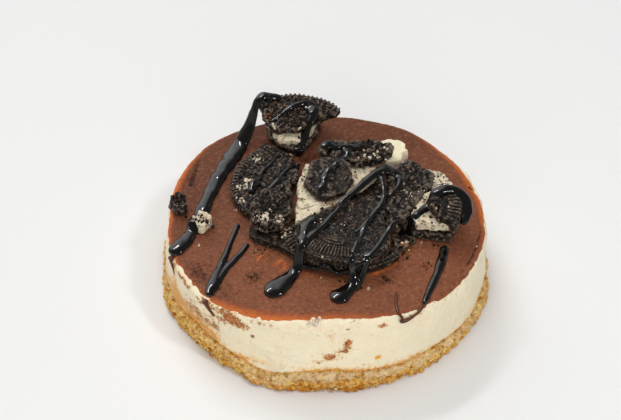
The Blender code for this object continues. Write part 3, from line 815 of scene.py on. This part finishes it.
def make_fragment(name, finish, base, corners, centre=None, arc=None, thick=WAFER_THICK, tilt=(0, 0),
                  radius=WAFER_RADIUS, fluted=True, seed=1, face=None, inner=RIBS_START,
                  voxel=FRAGMENT_VOXEL, bits=0.3, rough=0.45, lumpy=0.25, plain=False, flute=FLUTE_DEPTH,
                  clear=None, outer=WAFER_RADIUS, rib_count=FLUTES):
    """A broken slab of wafer or cream, where and as large as its solid, with a crumbly surface.

    face is the middle of its pattern, where that isn't centre, plain leaves the pattern out, and
    clear (x, y, reach) is where it is whole. inner, outer and rib_count are for the ribs of its face.
    bits is the share of chunks along its break, and rough and lumpy are depths of its unevenness.
    """
    edge = outline(centre, arc, corners, radius, fluted, seed, flute)
    middle = sum(edge, Vector((0, 0))) / len(edge)
    flat = np.array([p - middle for p in edge])
    rings = []
    for scale, share in SLAB_RINGS:
        rings.append(np.column_stack([flat * scale, np.full(len(flat), share * thick)]))
    rim_count = 0 if arc is None else len(rim_points(centre, arc, radius, fluted))
    parts = [skin(np.array(rings))] + crumbled(edge[rim_count:], middle, thick, seed, bits * 3)
    obj = add_piece(name, *joined(parts), FINISHES[finish])
    redraw(obj, voxel)
    points, normals = points_of(obj), normals_of(obj)
    spot = points + (7.0 * seed, 0, 0)
    on_top = smoothstep(0.45, 0.85, normals[:, 2]) * smoothstep(0.6, 0.9, points[:, 2] / thick)
    level_spot = points[:, :2] + np.array(middle)
    from_rim = np.ones(len(points))
    raised = np.zeros(len(points))
    hub = face or centre
    if hub is not None and finish == "wafer":
        x, y = (level_spot - hub).T
        r, turn = np.hypot(x, y), np.arctan2(y, x)
        if not plain:
            raised = moulding(r, turn)
        if arc is not None:
            raised = np.maximum(raised, ribs(r, turn, inner, outer, rib_count, arc[0]))
            from_rim = smoothstep(0.6, 2.5, radius - r)
            points[:, 2] -= 0.35 * smoothstep(1.2, 0.0, radius - r) * on_top
    worn = 0.15 + 0.85 * smoothstep(-0.5, 0.25, noise(spot, 3.6, 3) + 0.4 * noise(spot, 1.2, 4))
    if clear:
        kept = smoothstep(1.1, 0.8, np.linalg.norm(level_spot - clear[:2], axis=1) / clear[2])
        worn = kept + (1 - kept) * 0.25 * worn
        from_rim = from_rim * (1 - 0.75 * kept)
    moulded = 0.0 if plain or hub is None else 0.35
    crumbly = rough * (1 - moulded * on_top) * (0.25 + 0.75 * from_rim)
    swell = crumbly * crumbly_swell(spot) + lumpy * fractal(spot, 5.0, 2, 5) * from_rim
    points = points + normals * swell[:, None]
    points[:, 2] += MOULDING * raised * on_top * worn - 0.12 * on_top
    turned = Matrix.Rotation(math.radians(tilt[1]), 3, "Y") @ Matrix.Rotation(math.radians(tilt[0]), 3, "X")
    set_points(obj, points @ np.array(turned).T + (middle.x, middle.y, base))
    # How far each point stands out, which the wafer colour uses to paint shade into hollows and light onto
    # raised parts.
    set_numbers(obj, "relief_light_and_shade", np.clip(0.45 + standing_out(obj) / 0.36, 0, 0.85))
    return obj


WAFERS = {
    "rear_wafer_low": dict(
        base=DECK, seed=11, centre=(-11, 24.5), arc=(66, 115), fluted=False,
        corners=((-20, 38), (-19, 34), (-15, 30), (-11.5, 27.6), (-7.8, 28), (-4.7, 32), (-3.2, 38))),
    "left_wafer": dict(
        base=DECK, seed=12, centre=(-8.7, 10.4), arc=(128, 217), voxel=0.26, rough=0.8, lumpy=0.5,
        plain=True, inner=19.2,
        corners=((-20.4, -6.8), (-15.5, -6.2), (-12.5, 0), (-11.5, 8), (-9.6, 13), (-8.8, 20.2), (-12, 24),
                 (-16, 28.2), (-20.4, 30))),
    "front_wafer_low": dict(
        base=DECK, seed=13, centre=(7.0, -7.8), arc=(228, 316), fluted=False, radius=21.4, plain=True,
        rough=0.7, lumpy=0.4, voxel=0.28,
        corners=((21.6, -21.2), (19, -19.6), (18.5, -11.5), (8, -9.8), (-4, -10.3), (-12, -11.2),
                 (-16, -9.8), (-20, -9.9), (-23.2, -10.8), (-23, -14.8), (-19.9, -16.4), (-13.6, -19.2),
                 (-10.5, -21.6))),
    "middle_wafer": dict(
        base=DECK, seed=14, centre=(4.0, -3.0), arc=(50, 112), radius=21.5, fluted=False,
        corners=((-6.5, 12), (-8, 0), (-9, -8.5), (8, -8.5), (18, -10), (21, 0), (20, 11))),
    "right_wafer_low": dict(
        base=DECK, seed=15, centre=(19.3, -4.0), arc=(-28, 22),
        corners=((34, 4.4), (23, 3.4), (22.3, -9), (27.5, -12.6), (33.5, -14))),
    "front_wafer": dict(
        base=SECOND, seed=16, centre=(7.0, -7.8), arc=(227, 292), voxel=0.22, rough=0.95, lumpy=0.6,
        inner=16.2, outer=20.6, rib_count=118, flute=0.1, clear=(2.0, -24.6, 7.4),
        corners=((17.6, -25.4), (19, -20.5), (18.1, -13), (17.2, -2), (13, -1), (7.5, -3), (0, -7),
                 (-5, -10.8), (-8.2, -14), (-9.2, -18.5))),
    "left_crumble": dict(
        base=SECOND, seed=20, thick=4.0, rough=1.0, lumpy=0.8, voxel=0.26,
        corners=((-22.4, -4), (-22.8, -12.2), (-18.6, -14.4), (-13.4, -14.2), (-11.4, -9.6), (-10.8, -3.6),
                 (-11.2, 1.4), (-13.6, 3.8), (-16.8, 2.6), (-19.6, -0.4))),
    "right_wafer": dict(
        base=SECOND + 0.4, seed=17, rough=1.05, lumpy=0.9,
        corners=((23.4, 15), (20.6, 9), (19.6, 0), (19.4, -12), (22, -14.2), (24.6, -10.4), (26.4, -5.4),
                 (29.6, -0.2), (32.6, 4.2), (34.2, 8.5), (33, 12.8), (30, 16.6), (26.4, 17.4))),
    "rear_wafer_top": dict(
        base=35.0, seed=18, centre=(-10.5, 24.5), arc=(46, 123), tilt=(13, 0), voxel=0.26, plain=True,
        inner=20.4, rough=0.9, lumpy=0.6, flute=1.0, bits=0.1,
        corners=((-21.4, 36), (-19.6, 33), (-17, 31.4), (-13, 30.6), (-9, 31), (-6, 32.8), (-3.4, 35.6),
                 (0, 36.4), (2.8, 37.4))),
    "centre_wafer": dict(
        base=33.0, seed=19, tilt=(5, 0), face=(-12, 3), rough=0.5, lumpy=0.4,
        corners=((-6.6, 4), (-4.6, -0.6), (-1.2, -3), (2.6, -2.6), (6, 0), (8.3, 6), (7.2, 11.4),
                 (3.8, 14), (-0.4, 14), (-4.4, 12.6))),
    "rear_shard": dict(
        base=32.8, seed=21, thick=3.4, tilt=(3, 0), rough=0.85, lumpy=0.8,
        corners=((-2.4, 20.4), (-0.6, 16.6), (3.4, 14.9), (9.4, 13), (14, 13.6), (18, 16), (21.4, 19),
                 (20.8, 22), (16.8, 23.8), (11, 24), (6, 22.6), (1.2, 23))),
    "right_wafer_top": dict(
        base=34.0, seed=22, centre=(19.6, -7.6), arc=(-28, 15), tilt=(6, 3), voxel=0.25, rough=0.5,
        corners=((36, -1.4), (33.4, -3.4), (31.4, -7), (32.6, -11.4), (36, -15))),
    "right_crumble": dict(
        base=DECK, seed=23, thick=2.6, rough=0.7, lumpy=0.6,
        corners=((21.4, -18.2), (24, -18.6), (26.8, -16.2), (26.8, -14.6), (22.6, -11.8), (20.8, -12.6))),
    "edge_crumb": dict(
        base=DECK, seed=24, thick=4.6, rough=0.8, lumpy=0.9, voxel=0.28,
        corners=((-49, 1.4), (-48.4, -2), (-44.6, -4.2), (-43, -1.2), (-45, 1.8))),
}

CREAMS = {
    "rear_cream": dict(
        base=30.6, thick=2.4, seed=31, centre=(-11, 24.5), arc=(64, 115), radius=20.6, rough=0.9, lumpy=0.6,
        tilt=(7, 0),
        corners=((-19.6, 37), (-17.6, 32.4), (-13.6, 29.4), (-9.6, 29), (-6.4, 31), (-4, 36))),
    "middle_cream": dict(
        base=SECOND, thick=2.1, seed=32, rough=0.6, lumpy=0.5,
        corners=((-8.4, 9), (-9.0, 3), (-8.8, -5), (-9.4, -11.6), (-7.6, -11.4), (-0.4, -5.6), (5.6, -1),
                 (9.4, 3.4), (13.4, 7), (16.8, 10.6), (15, 16), (6, 18), (0, 16), (-6, 15.4))),
    "rear_cream_slab": dict(
        base=DECK, thick=5.4, seed=33, finish="slab", rough=0.15, lumpy=0.5, bits=0.05,
        corners=((17.2, 20.2), (19.4, 18.2), (24, 18.8), (24.4, 21.4), (24.9, 23.4), (27.2, 24.2),
                 (26, 27.8), (24.2, 29.8), (20.4, 30.4), (16.6, 29.2), (16.4, 24.6))),
    "right_cream_slab": dict(
        base=DECK, thick=2.8, seed=34, rough=0.3, lumpy=0.5,
        corners=((27, 6.4), (36.6, 5.4), (40.8, 6.6), (40.6, 11.4), (38, 15.8), (33.4, 17.6), (28, 14))),
    "right_cream": dict(
        base=SECOND, thick=3.7, seed=35, centre=(19.3, -4.0), arc=(-27, 18), radius=20.6,
        corners=((33, 2.6), (30.8, 0), (27.8, -5), (25.6, -10), (28, -12.6), (33, -13.8))),
    "left_cream_crumb": dict(
        base=DECK, thick=3.8, seed=36, rough=0.8, lumpy=0.7, voxel=0.28,
        corners=((-40.6, -8), (-39.4, -12), (-36.8, -11.4), (-35.4, -7.6), (-36.8, -4.8), (-39.4, -5))),
}


# The syrup's strands. A route's entries are (x, y, width) on what lies below, or (x, y, z, width) in
# the air.
ROUTES = (
    ((-15.0, 43.2, 2.2), (-16.6, 43.4, 2.8), (-18.6, 43.2, 3.0), (-20.8, 42.4, 39.8, 3.2),
     (-22.6, 40.9, 39.0, 3.2), (-23.8, 39.4, 36.8, 3.2), (-24.8, 38.0, 34.0, 3.6), (-25.8, 36.6, 31.0, 4.0),
     (-27.2, 34.8, 28.6, 4.6), (-28.9, 31.8, 5.0), (-30.9, 26.4, 5.4), (-33.1, 20.8, 5.4),
     (-35.2, 14.2, 5.0), (-36.8, 8.0, 4.7), (-38.4, 1.1, 4.2), (-40.2, -6.9, 4.2), (-42.4, -14.0, 4.6),
     (-45.0, -18.4, 5.2), (-46.0, -20.8, 4.6)),
    ((-27.2, -6.8, 1.5), (-28.5, -13.0, 1.6), (-29.8, -19.4, 1.9), (-31.2, -25.6, 2.4), (-32.4, -31.0, 3.2),
     (-33.4, -35.4, 3.7), (-33.9, -38.2, 3.0)),
    ((-23.6, -15.6, 1.5), (-25.4, -19.6, 1.7), (-27.8, -23.8, 1.9), (-30.2, -28.4, 2.2),
     (-31.8, -32.6, 2.4), (-32.8, -36.2, 1.9)),
    ((-5.6, -21.0, 2.6), (-6.6, -23.0, 2.8), (-7.6, -25.2, 30.4, 2.6), (-8.0, -26.8, 27.6, 3.0),
     (-9.2, -28.6, 3.6), (-11.0, -31.0, 4.6), (-13.2, -33.8, 5.8), (-15.2, -36.2, 6.0), (-16.8, -38.2, 4.2)),
    ((8.0, -27.6, 1.8), (7.9, -29.8, 32.2, 1.8), (8.2, -31.2, 29.0, 2.0), (8.7, -32.6, 27.4, 2.6),
     (7.6, -34.4, 3.6), (5.8, -36.4, 4.8), (4.0, -38.4, 5.6), (2.6, -40.2, 4.0)),
    ((36.6, -15.9, 2.6), (35.6, -20.6, 2.8), (33.8, -27.0, 2.4), (31.0, -34.5, 2.0), (28.9, -40.2, 1.5)),
    ((-18.6, 33.2, 1.3), (-17.0, 34.4, 1.5), (-15.4, 35.6, 1.6), (-12.9, 37.6, 1.8), (-10.6, 39.3, 2.0),
     (-8.3, 40.8, 2.6), (-6.3, 41.0, 3.2), (-4.6, 39.0, 3.6), (-4.4, 36.4, 3.4), (-4.8, 34.6, 35.4, 3.0),
     (-5.8, 32.6, 32.6, 2.8), (-7.1, 30.4, 30.9, 2.8), (-8.6, 28.2, 2.8), (-9.4, 26.6, 2.2)),
    ((-15.5, 24.0, 1.1), (-17.0, 20.3, 1.5), (-18.8, 17.7, 1.8), (-20.6, 14.6, 1.4), (-21.8, 11.1, 1.9),
     (-23.3, 7.6, 1.6), (-23.7, 4.2, 1.8)),
    ((-9.7, 19.2, 1.2), (-11.7, 17.3, 1.7), (-13.5, 14.7, 1.5), (-15.0, 11.2, 1.6), (-16.5, 8.2, 1.8),
     (-18.3, 5.2, 1.3)),
    ((6.7, 15.6, 1.7), (5.4, 14.2, 2.6), (4.2, 12.2, 1.8), (3.2, 10.5, 2.6), (2.2, 8.8, 1.9),
     (1.2, 7.2, 3.0), (0.2, 5.6, 2.3), (-0.2, 3.6, 3.0), (-0.4, 1.8, 2.3), (-1.0, 0.0, 2.8),
     (-1.6, -1.8, 1.9), (-2.2, -3.4, 1.4)),
    ((-1.6, 18.6, 2.3), (0.6, 20.0, 2.8), (3.0, 19.2, 1.9), (6.0, 19.6, 1.8), (9.6, 19.2, 2.1),
     (11.5, 18.6, 1.4)),
    ((5.4, 18.6, 1.6), (7.0, 16.4, 2.1), (6.4, 14.2, 1.8)),
    ((4.2, -6.4, 1.5), (5.2, -4.7, 34.2, 1.7), (7.5, -2.1, 34.5, 1.8), (9.7, 0.3, 34.6, 2.1),
     (11.9, 3.3, 34.7, 2.5), (14.2, 6.2, 34.8, 3.0), (17.1, 8.9, 34.8, 3.7), (19.8, 9.9, 34.8, 4.0),
     (22.3, 9.4, 3.5), (23.6, 7.2, 2.6), (23.2, 4.0, 1.9), (21.6, 0.8, 1.7), (19.6, -2.0, 34.0, 1.5)),
    ((17.4, 7.4, 34.6, 1.6), (18.0, 3.6, 34.2, 1.5), (18.2, 0.2, 34.0, 1.5), (18.0, -2.8, 34.0, 1.5)),
    ((13.6, -2.4, 1.3), (16.2, -1.8, 1.6), (17.8, -3.0, 33.9, 1.9), (16.6, -6.2, 1.7), (14.8, -9.0, 1.5),
     (13.2, -12.0, 1.7), (12.0, -15.2, 1.5), (11.3, -18.3, 1.7), (9.9, -21.4, 1.8), (9.1, -24.5, 1.7),
     (8.0, -27.6, 1.8)),
    ((26.4, -10.8, 1.4), (24.4, -12.4, 1.6), (22.6, -13.2, 33.7, 1.8), (20.8, -14.1, 33.8, 1.9),
     (19.2, -16.8, 33.8, 1.8), (17.7, -20.0, 2.0), (16.3, -23.0, 1.8), (14.7, -25.7, 2.1),
     (12.9, -28.0, 1.9), (12.0, -29.8, 31.4, 1.8), (11.0, -31.4, 28.4, 1.8), (9.8, -33.4, 2.1),
     (8.8, -35.2, 2.6)),
    ((4.6, -5.6, 1.7), (3.6, -8.0, 1.8), (1.7, -10.8, 1.8), (-0.1, -14.0, 2.1), (-1.9, -16.7, 2.1),
     (-3.7, -19.0, 2.6), (-5.7, -21.4, 2.6)),
    ((-2.6, -11.2, 1.6), (-4.8, -13.8, 2.5), (-6.0, -17.0, 3.5), (-6.4, -20.4, 3.2), (-6.9, -23.2, 2.5)),
    ((12.4, -13.4, 1.3), (10.6, -16.2, 1.4), (8.8, -17.6, 1.4)),
    ((-8.4, -25.6, 27.4, 1.6), (-5.4, -26.8, 27.4, 1.9), (-2.2, -28.0, 27.4, 1.7), (1.4, -29.2, 27.3, 2.0),
     (5.1, -29.8, 27.2, 1.8), (9.0, -29.8, 27.2, 2.0), (12.6, -28.8, 27.2, 1.4)),
    ((24.4, -13.0, 2.2), (27.6, -10.4, 2.5), (30.4, -7.4, 2.7), (33.4, -4.8, 2.8), (36.0, -3.4, 3.2),
     (38.8, -3.0, 3.4), (41.2, -4.2, 36.8, 3.6), (42.6, -7.0, 36.0, 4.0), (42.8, -10.0, 35.0, 4.0),
     (42.0, -12.6, 34.0, 3.4), (41.4, -14.2, 33.0, 2.4)),
)
# Pools: (x, y, radius, height).
POOLS = (
    (-5.4, -15.2, 2.4, 0.7), (-6.0, -20.6, 2.6, 0.7), (-3.6, -12.6, 1.8, 0.6), (21.4, 9.4, 2.8, 0.8),
    (0.2, 19.8, 2.2, 0.8), (-5.6, 39.8, 2.4, 0.8), (-19.6, 42.4, 1.8, 0.6), (-22.6, 8.0, 2.0, 0.4),
    (-16.4, 8.4, 1.8, 0.4), (-18.6, 4.8, 2.0, 0.4), (-8.8, 27.8, 2.2, 0.7), (12.6, -27.4, 1.6, 0.5),
)


class Ground:
    """What lies below a point seen from above."""

    def __init__(self, objects):
        points, faces, count = [], [], 0
        for obj in objects:
            some = points_of(obj)
            points += some.tolist()
            faces += [[i + count for i in face.vertices] for face in obj.data.polygons]
            count += len(some)
        self.tree = BVHTree.FromPolygons(points, faces)

    def height(self, x, y, start=80.0):
        spot, *_ = self.tree.ray_cast(Vector((x, y, start)), Vector((0, 0, -1)))
        return spot.z if spot else 0.0


def evened(values, reach):
    """A running mean over reach values to each side."""
    padded = np.pad(values, reach, mode="edge")
    return np.convolve(padded, np.ones(2 * reach + 1) / (2 * reach + 1), mode="valid")


def fine_line(marks, step, least):
    """Points about step apart along a smooth curve through marks, and least or more to a stretch."""
    spans = [max(least, int(math.dist(a[:3], b[:3]) / step)) for a, b in zip(marks, marks[1:])]
    return through(marks, spans)


def laid_route(route, ground, lift=0.1, reach=5):
    """Fine points (x, y, z, width) along a route, laid on the ground and evened."""
    marks = []
    for x, y, *rest in route:
        in_air = len(rest) == 2
        z = rest[0] if in_air else ground.height(x, y)
        marks.append((x, y, z, rest[-1], 0.0 if in_air else 1.0))
    line = fine_line(marks, STRAND_STEP, 2)
    heights = np.array([ground.height(x, y) for x, y in line[:, :2]])
    share = smoothstep(0.5, 1.0, line[:, 4])
    height = share * heights + (1 - share) * np.maximum(line[:, 2], heights)
    height = np.maximum(evened(height, reach), 0.6 * height + 0.4 * evened(height, reach))
    line[:, 2] = evened(height, 2) + lift * line[:, 3]
    return line[:, :4]


def strand(line, sides=16, flat=0.6, swell=0.2, seed=0):
    """Points and faces of a rounded strand along fine points (x, y, z, width)."""
    along = np.gradient(line[:, :3], axis=0)
    along /= np.maximum(np.linalg.norm(along, axis=1, keepdims=True), 1e-9)
    across = np.cross(along, (0, 0, 1.0))
    across /= np.maximum(np.linalg.norm(across, axis=1, keepdims=True), 1e-9)
    upward = np.cross(across, along)
    half = (line[:, 3] / 2 + THICKEN) * (1 + swell * noise(line[:, :3], 2.6, seed))
    ends = np.minimum(np.arange(len(line)), np.arange(len(line))[::-1]) * 0.45
    half *= np.sqrt(np.clip(1 - (1 - np.clip(ends / (half + 0.01), 0, 1)) ** 2, 0.02, 1))  # rounds the ends
    turn = -2 * np.pi * (np.arange(sides) + 0.5) / sides
    tall = flat * (np.minimum(half, FULL_HALF) + SPREAD_SHARE * np.maximum(half - FULL_HALF, 0))
    rings = (line[:, None, :3] + across[:, None] * (half[:, None] * np.cos(turn))[..., None]
             + upward[:, None] * (tall[:, None] * np.sin(turn))[..., None])
    return skin(rings)


def make_syrup(ground):
    round_points, round_faces = ball(3)
    parts = [strand(laid_route(route, ground), seed=k) for k, route in enumerate(ROUTES)]
    for x, y, radius, height in POOLS:
        at = (x, y, ground.height(x, y) + 0.25 * height)
        parts.append((round_points * (radius, radius, height) + at, round_faces))
    obj = add_piece("syrup", *joined(parts), FINISHES["syrup"])
    redraw(obj, SYRUP_VOXEL)
    smooth_out(obj, SYRUP_SMOOTHING)
    return obj


def on_side(degrees, height):
    """A point on the filling's side."""
    turn = math.radians(degrees)
    radius = FILLING_RADIUS + 0.3 + float(bumped(np.array([degrees]), TOP_BUMPS)[0])
    return radius * math.cos(turn), radius * math.sin(turn), height


# Thin trails of syrup, as (x, y, z, width).
THIN_TRAILS = (
    ((21.0, -35.8, 26.1, 0.5), (20.8, -39.6, 26.15, 0.7), (21.2, -43.4, 26.1, 0.8),
     (22.4, -45.6, 25.6, 0.8), (*on_side(296, 24.2), 1.0), (*on_side(299, 24.4), 0.8),
     (27.4, -43.0, 25.8, 0.8), (28.7, -40.4, 26.1, 1.0)),
    ((*on_side(203.6, 25.4), 1.6), (*on_side(205, 23.6), 0.9), (*on_side(207, 21.8), 0.6),
     (*on_side(207.6, 20.4), 0.4)),
    ((*on_side(228, 25.3), 1.8), (*on_side(229, 23.8), 1.2), (*on_side(231, 21.8), 0.8),
     (*on_side(232, 20.8), 0.4)),
)


def make_thin_syrup():
    parts = []
    for k, marks in enumerate(THIN_TRAILS):
        parts.append(strand(fine_line(marks, TRAIL_STEP, 3), sides=10, flat=0.8, swell=0.35, seed=60 + k))
    return add_piece("thin_syrup_trails", *joined(parts), FINISHES["thin_syrup"])


# Loose crumbs, as (x, y, spread, count, smallest radius, largest radius).
DARK_CRUMBS = (
    (-20, 8, 8, 60, 0.2, 0.6), (-15, -6, 5, 60, 0.25, 0.7), (4, -10, 11, 80, 0.2, 0.55),
    (24, 6, 6, 60, 0.2, 0.7), (10, 19, 7, 60, 0.2, 0.7), (-12, 35, 6, 60, 0.2, 0.7), (1, 6, 6, 30, 0.2, 0.5),
    (22, -14, 3, 40, 0.3, 0.8), (34, -11, 5, 50, 0.2, 0.7), (-46, -1, 3, 26, 0.2, 0.8),
    (-38, -9, 2.4, 26, 0.2, 0.7), (30.2, -24.4, 1.6, 8, 0.2, 0.5), (26.8, 22.2, 0.9, 7, 0.25, 0.6),
    (45.6, 1.4, 1.4, 8, 0.2, 0.6), (0, -2, 30, 60, 0.1, 0.25), (18, -30.6, 1.6, 12, 0.2, 0.45),
    (47, 14, 3, 7, 0.15, 0.4), (-21.3, -30.1, 2.2, 16, 0.1, 0.3), (-19, -18, 2.4, 12, 0.2, 0.5),
    (24, -20, 2.2, 12, 0.2, 0.6), (38, -14, 3, 12, 0.2, 0.5), (-12, 24, 3, 30, 0.2, 0.6),
    (8, -30, 3.5, 22, 0.2, 0.5), (36, 12, 4, 16, 0.15, 0.5),
)
PALE_CRUMBS = (
    (-13, 27, 2, 14, 0.3, 0.9), (-17.6, 31.2, 0.8, 10, 0.3, 0.7), (-7.6, 31.0, 1.2, 12, 0.3, 0.8),
    (-38.2, -8.4, 1.8, 30, 0.25, 0.7), (-19, -11.6, 2.4, 36, 0.2, 0.6), (-24.5, 9.4, 1.4, 16, 0.3, 0.7),
    (-27, 0.6, 1.6, 14, 0.15, 0.5), (4, -8, 12, 24, 0.1, 0.3), (-13, -13.5, 2.0, 24, 0.2, 0.6),
    (-22.6, 21, 1.6, 14, 0.2, 0.6), (27, -2, 5, 26, 0.15, 0.5), (14, 16, 6, 26, 0.2, 0.6),
    (-38.6, -16.5, 0.4, 3, 0.2, 0.4), (-1.0, -29.0, 1.0, 6, 0.25, 0.5), (13, -34.4, 0.5, 4, 0.3, 0.6),
    (35.6, -16.6, 0.4, 2, 0.25, 0.4), (24.4, -17.6, 1.4, 8, 0.25, 0.6), (-26.5, 6.6, 1.4, 16, 0.3, 0.7),
    (-2.6, -48.2, 1.5, 34, 0.3, 0.75), (9, -48.0, 2, 8, 0.15, 0.4), (0, -5, 34, 40, 0.08, 0.2),
    (32, -12, 4, 16, 0.15, 0.5),
)
BROWN_CRUMBS = (
    (-19.6, 36.4, 0.7, 6, 0.25, 0.5), (-21.3, -30.1, 2.4, 24, 0.15, 0.4), (24.6, -18, 2.2, 18, 0.3, 0.8),
    (-17, -21, 4, 26, 0.12, 0.3), (18, -30.4, 2.4, 16, 0.15, 0.4), (-34, -34, 6, 30, 0.1, 0.28),
    (14, 12, 5, 16, 0.15, 0.5), (2, -3.6, 0.7, 6, 0.3, 0.6), (6, -44, 8, 20, 0.1, 0.25),
)


def make_crumbs(name, clusters, finish, ground, syrup, seed):
    """Many loose crumbs in one piece, each on what lies below it and off the syrup."""
    draw = np.random.default_rng(seed)
    parts = []
    for x, y, spread, count, smallest, largest in clusters:
        for _ in range(count):
            away = np.clip(draw.normal(0, 0.55, 2), -1.3, 1.3) * spread
            px, py = x + away[0], y + away[1]
            size = smallest + (largest - smallest) * draw.random() ** 2
            points, faces = chunk(draw)
            if math.hypot(px, py) > GLAZE_RADIUS - 0.9 or syrup.height(px, py) > ground.height(px, py):
                continue
            parts.append((points * size + (px, py, ground.height(px, py) + 0.4 * size), faces))
    points, faces = joined(parts)
    obj = add_piece(name, points, faces, FINISHES[finish])
    obj.data.shade_flat()
    return obj


def make_base_crumbs():
    """Golden crumbs that stand out of the base's side and lie at its foot."""
    draw = np.random.default_rng(5)
    shape, faces = ball(1)
    parts = []
    for _ in range(BASE_CRUMBS):
        degrees = draw.uniform(0, 360)
        index = int(degrees / 360 * STEPS) % STEPS
        share = draw.random() ** 0.8
        height = 0.3 + share * (SEAM[index] + 0.2)
        radius = FOOT[index] + (SIDE_FOOT - FOOT[index]) * share + draw.uniform(-0.2, 0.35)
        size = draw.uniform(0.18, 0.60)
        dents = 1 + 0.25 * draw.uniform(-1, 1, (len(shape), 1))
        at = (radius * math.cos(TURNS[index]), radius * math.sin(TURNS[index]), max(height, size * 1.55))
        parts.append((shape * dents * draw.uniform(0.7, 1.2, 3) * size + at, faces))
    points, faces = joined(parts)
    own = np.repeat(draw.choice((0.05, 0.3, 0.6, 0.95), len(parts)), len(shape))
    return add_piece("base_crumbs", points, faces, FINISHES["crumb"], {"grain": own})


# Stage, light and camera.


def make_floor():
    it = Finish("pale_floor", 0.7, 0.2)
    it.set(it.mix(it.noise(300.0, 2), (0.83, 0.83, 0.82), (0.85, 0.85, 0.84)))
    mesh = bpy.data.meshes.new("floor")
    corners = [(x, y, 0) for x, y in ((-1, -1), (1, -1), (1, 1), (-1, 1))]
    mesh.from_pydata([Vector(c) * FLOOR_HALF for c in corners], [], [(0, 1, 2, 3)])
    mesh.materials.append(it.material)
    floor = bpy.data.objects.new("floor", mesh)
    floor.location.z = -FLOOR_DROP
    bpy.context.scene.collection.objects.link(floor)


def add_light(name, place, size, watts, glossy):
    light = bpy.data.lights.new(name, "AREA")
    light.shape = "RECTANGLE"
    light.size, light.size_y = size
    light.energy = watts
    obj = bpy.data.objects.new(name, light)
    bpy.context.scene.collection.objects.link(obj)
    obj.location = place
    obj.rotation_euler = (CAKE_MIDDLE - Vector(place)).to_track_quat("-Z", "Y").to_euler()
    obj.visible_glossy = glossy


def make_world():
    """White low round the horizon, dimmer overhead, and a wide soft panel behind at the left."""
    world = bpy.data.worlds.new("studio")
    world.use_nodes = True
    bpy.context.scene.world = world
    tree = world.node_tree
    direction = add_node(tree, "ShaderNodeTexCoord").outputs["Generated"]
    height = add_node(tree, "ShaderNodeSeparateXYZ", {"Vector": direction}).outputs["Z"]
    ramp = add_node(tree, "ShaderNodeValToRGB", {"Fac": height})
    for element, place, colour in zip(ramp.color_ramp.elements, (0.30, 0.60), (WORLD_LOW, WORLD_HIGH)):
        element.position = place
        element.color = colour
    lit = add_node(tree, "ShaderNodeVectorMath", {0: direction, 1: SOFT_PANEL}, operation="DOT_PRODUCT")
    inputs = {"Value": lit.outputs["Value"], "From Min": PANEL_EDGES[0], "From Max": PANEL_EDGES[1],
              "To Max": PANEL_GAIN}
    panel = add_node(tree, "ShaderNodeMapRange", inputs, interpolation_type="SMOOTHSTEP")
    inputs = {"Fac": 1.0, "Color1": ramp.outputs["Color"], "Color2": panel.outputs["Result"]}
    total = add_node(tree, "ShaderNodeMixRGB", inputs, blend_type="ADD")
    background = tree.nodes["Background"]
    tree.links.new(total.outputs["Color"], background.inputs["Color"])
    background.inputs["Strength"].default_value = WORLD_STRENGTH


def make_camera():
    data = bpy.data.cameras.new("camera")
    data.lens, data.sensor_width = CAMERA_LENS, SENSOR
    camera = bpy.data.objects.new("camera", data)
    bpy.context.scene.collection.objects.link(camera)
    away = Vector((0, -math.cos(CAMERA_ELEVATION), math.sin(CAMERA_ELEVATION)))
    camera.location = CAKE_MIDDLE + away * CAMERA_DISTANCE
    right = Vector((1, 0, 0))
    up = right.cross(-away)
    pixel = CAMERA_DISTANCE * SENSOR / (CAMERA_LENS * PHOTO_WIDTH)
    aim = CAKE_MIDDLE + right * AIM_RIGHT * pixel + up * AIM_UP * pixel
    camera.rotation_euler = (aim - camera.location).to_track_quat("-Z", "Y").to_euler()
    bpy.context.scene.camera = camera


def keep(obj, slot, *nodes):
    """The piece rides on the cake and stands for CAD nodes, which are hidden. slot is not used."""
    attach(obj, BODY)
    if nodes:
        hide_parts(*nodes)


def main():
    bpy.context.scene.view_settings.view_transform = "Standard"
    make_camera()
    make_world()
    make_floor()
    for name, spec in LIGHTS.items():
        add_light(name, *spec)

    base, filling, glaze = make_base(), make_filling(), make_glaze()
    keep(base, "biscuit_crumb", "crumb_base")
    keep(filling, "baked_cream_cheese", "cream_cheese_filling")
    keep(glaze, "chocolate_glaze", "chocolate_glaze")
    solid = [base, filling, glaze]
    for name, spec in WAFERS.items():
        piece = make_fragment(name + "_biscuit", "wafer", **spec)
        keep(piece, "dark_wafer", name)
        solid.append(piece)
    for name, spec in CREAMS.items():
        piece = make_fragment(name + "_piece", fluted=False, **{"finish": "cream", **spec})
        keep(piece, "biscuit_cream", name)
        solid.append(piece)
    ground = Ground(solid)
    syrup = make_syrup(ground)
    keep(syrup, "chocolate_syrup")
    wet = Ground([syrup])
    keep(make_thin_syrup(), "chocolate_syrup")
    keep(make_crumbs("dark_crumbs", DARK_CRUMBS, "dark", ground, wet, 1), "dark_wafer")
    keep(make_crumbs("pale_crumbs", PALE_CRUMBS, "pale", ground, wet, 2), "biscuit_cream")
    keep(make_crumbs("brown_crumbs", BROWN_CRUMBS, "brown", ground, wet, 3), "chocolate_glaze")
    keep(make_base_crumbs(), "biscuit_crumb")


main()
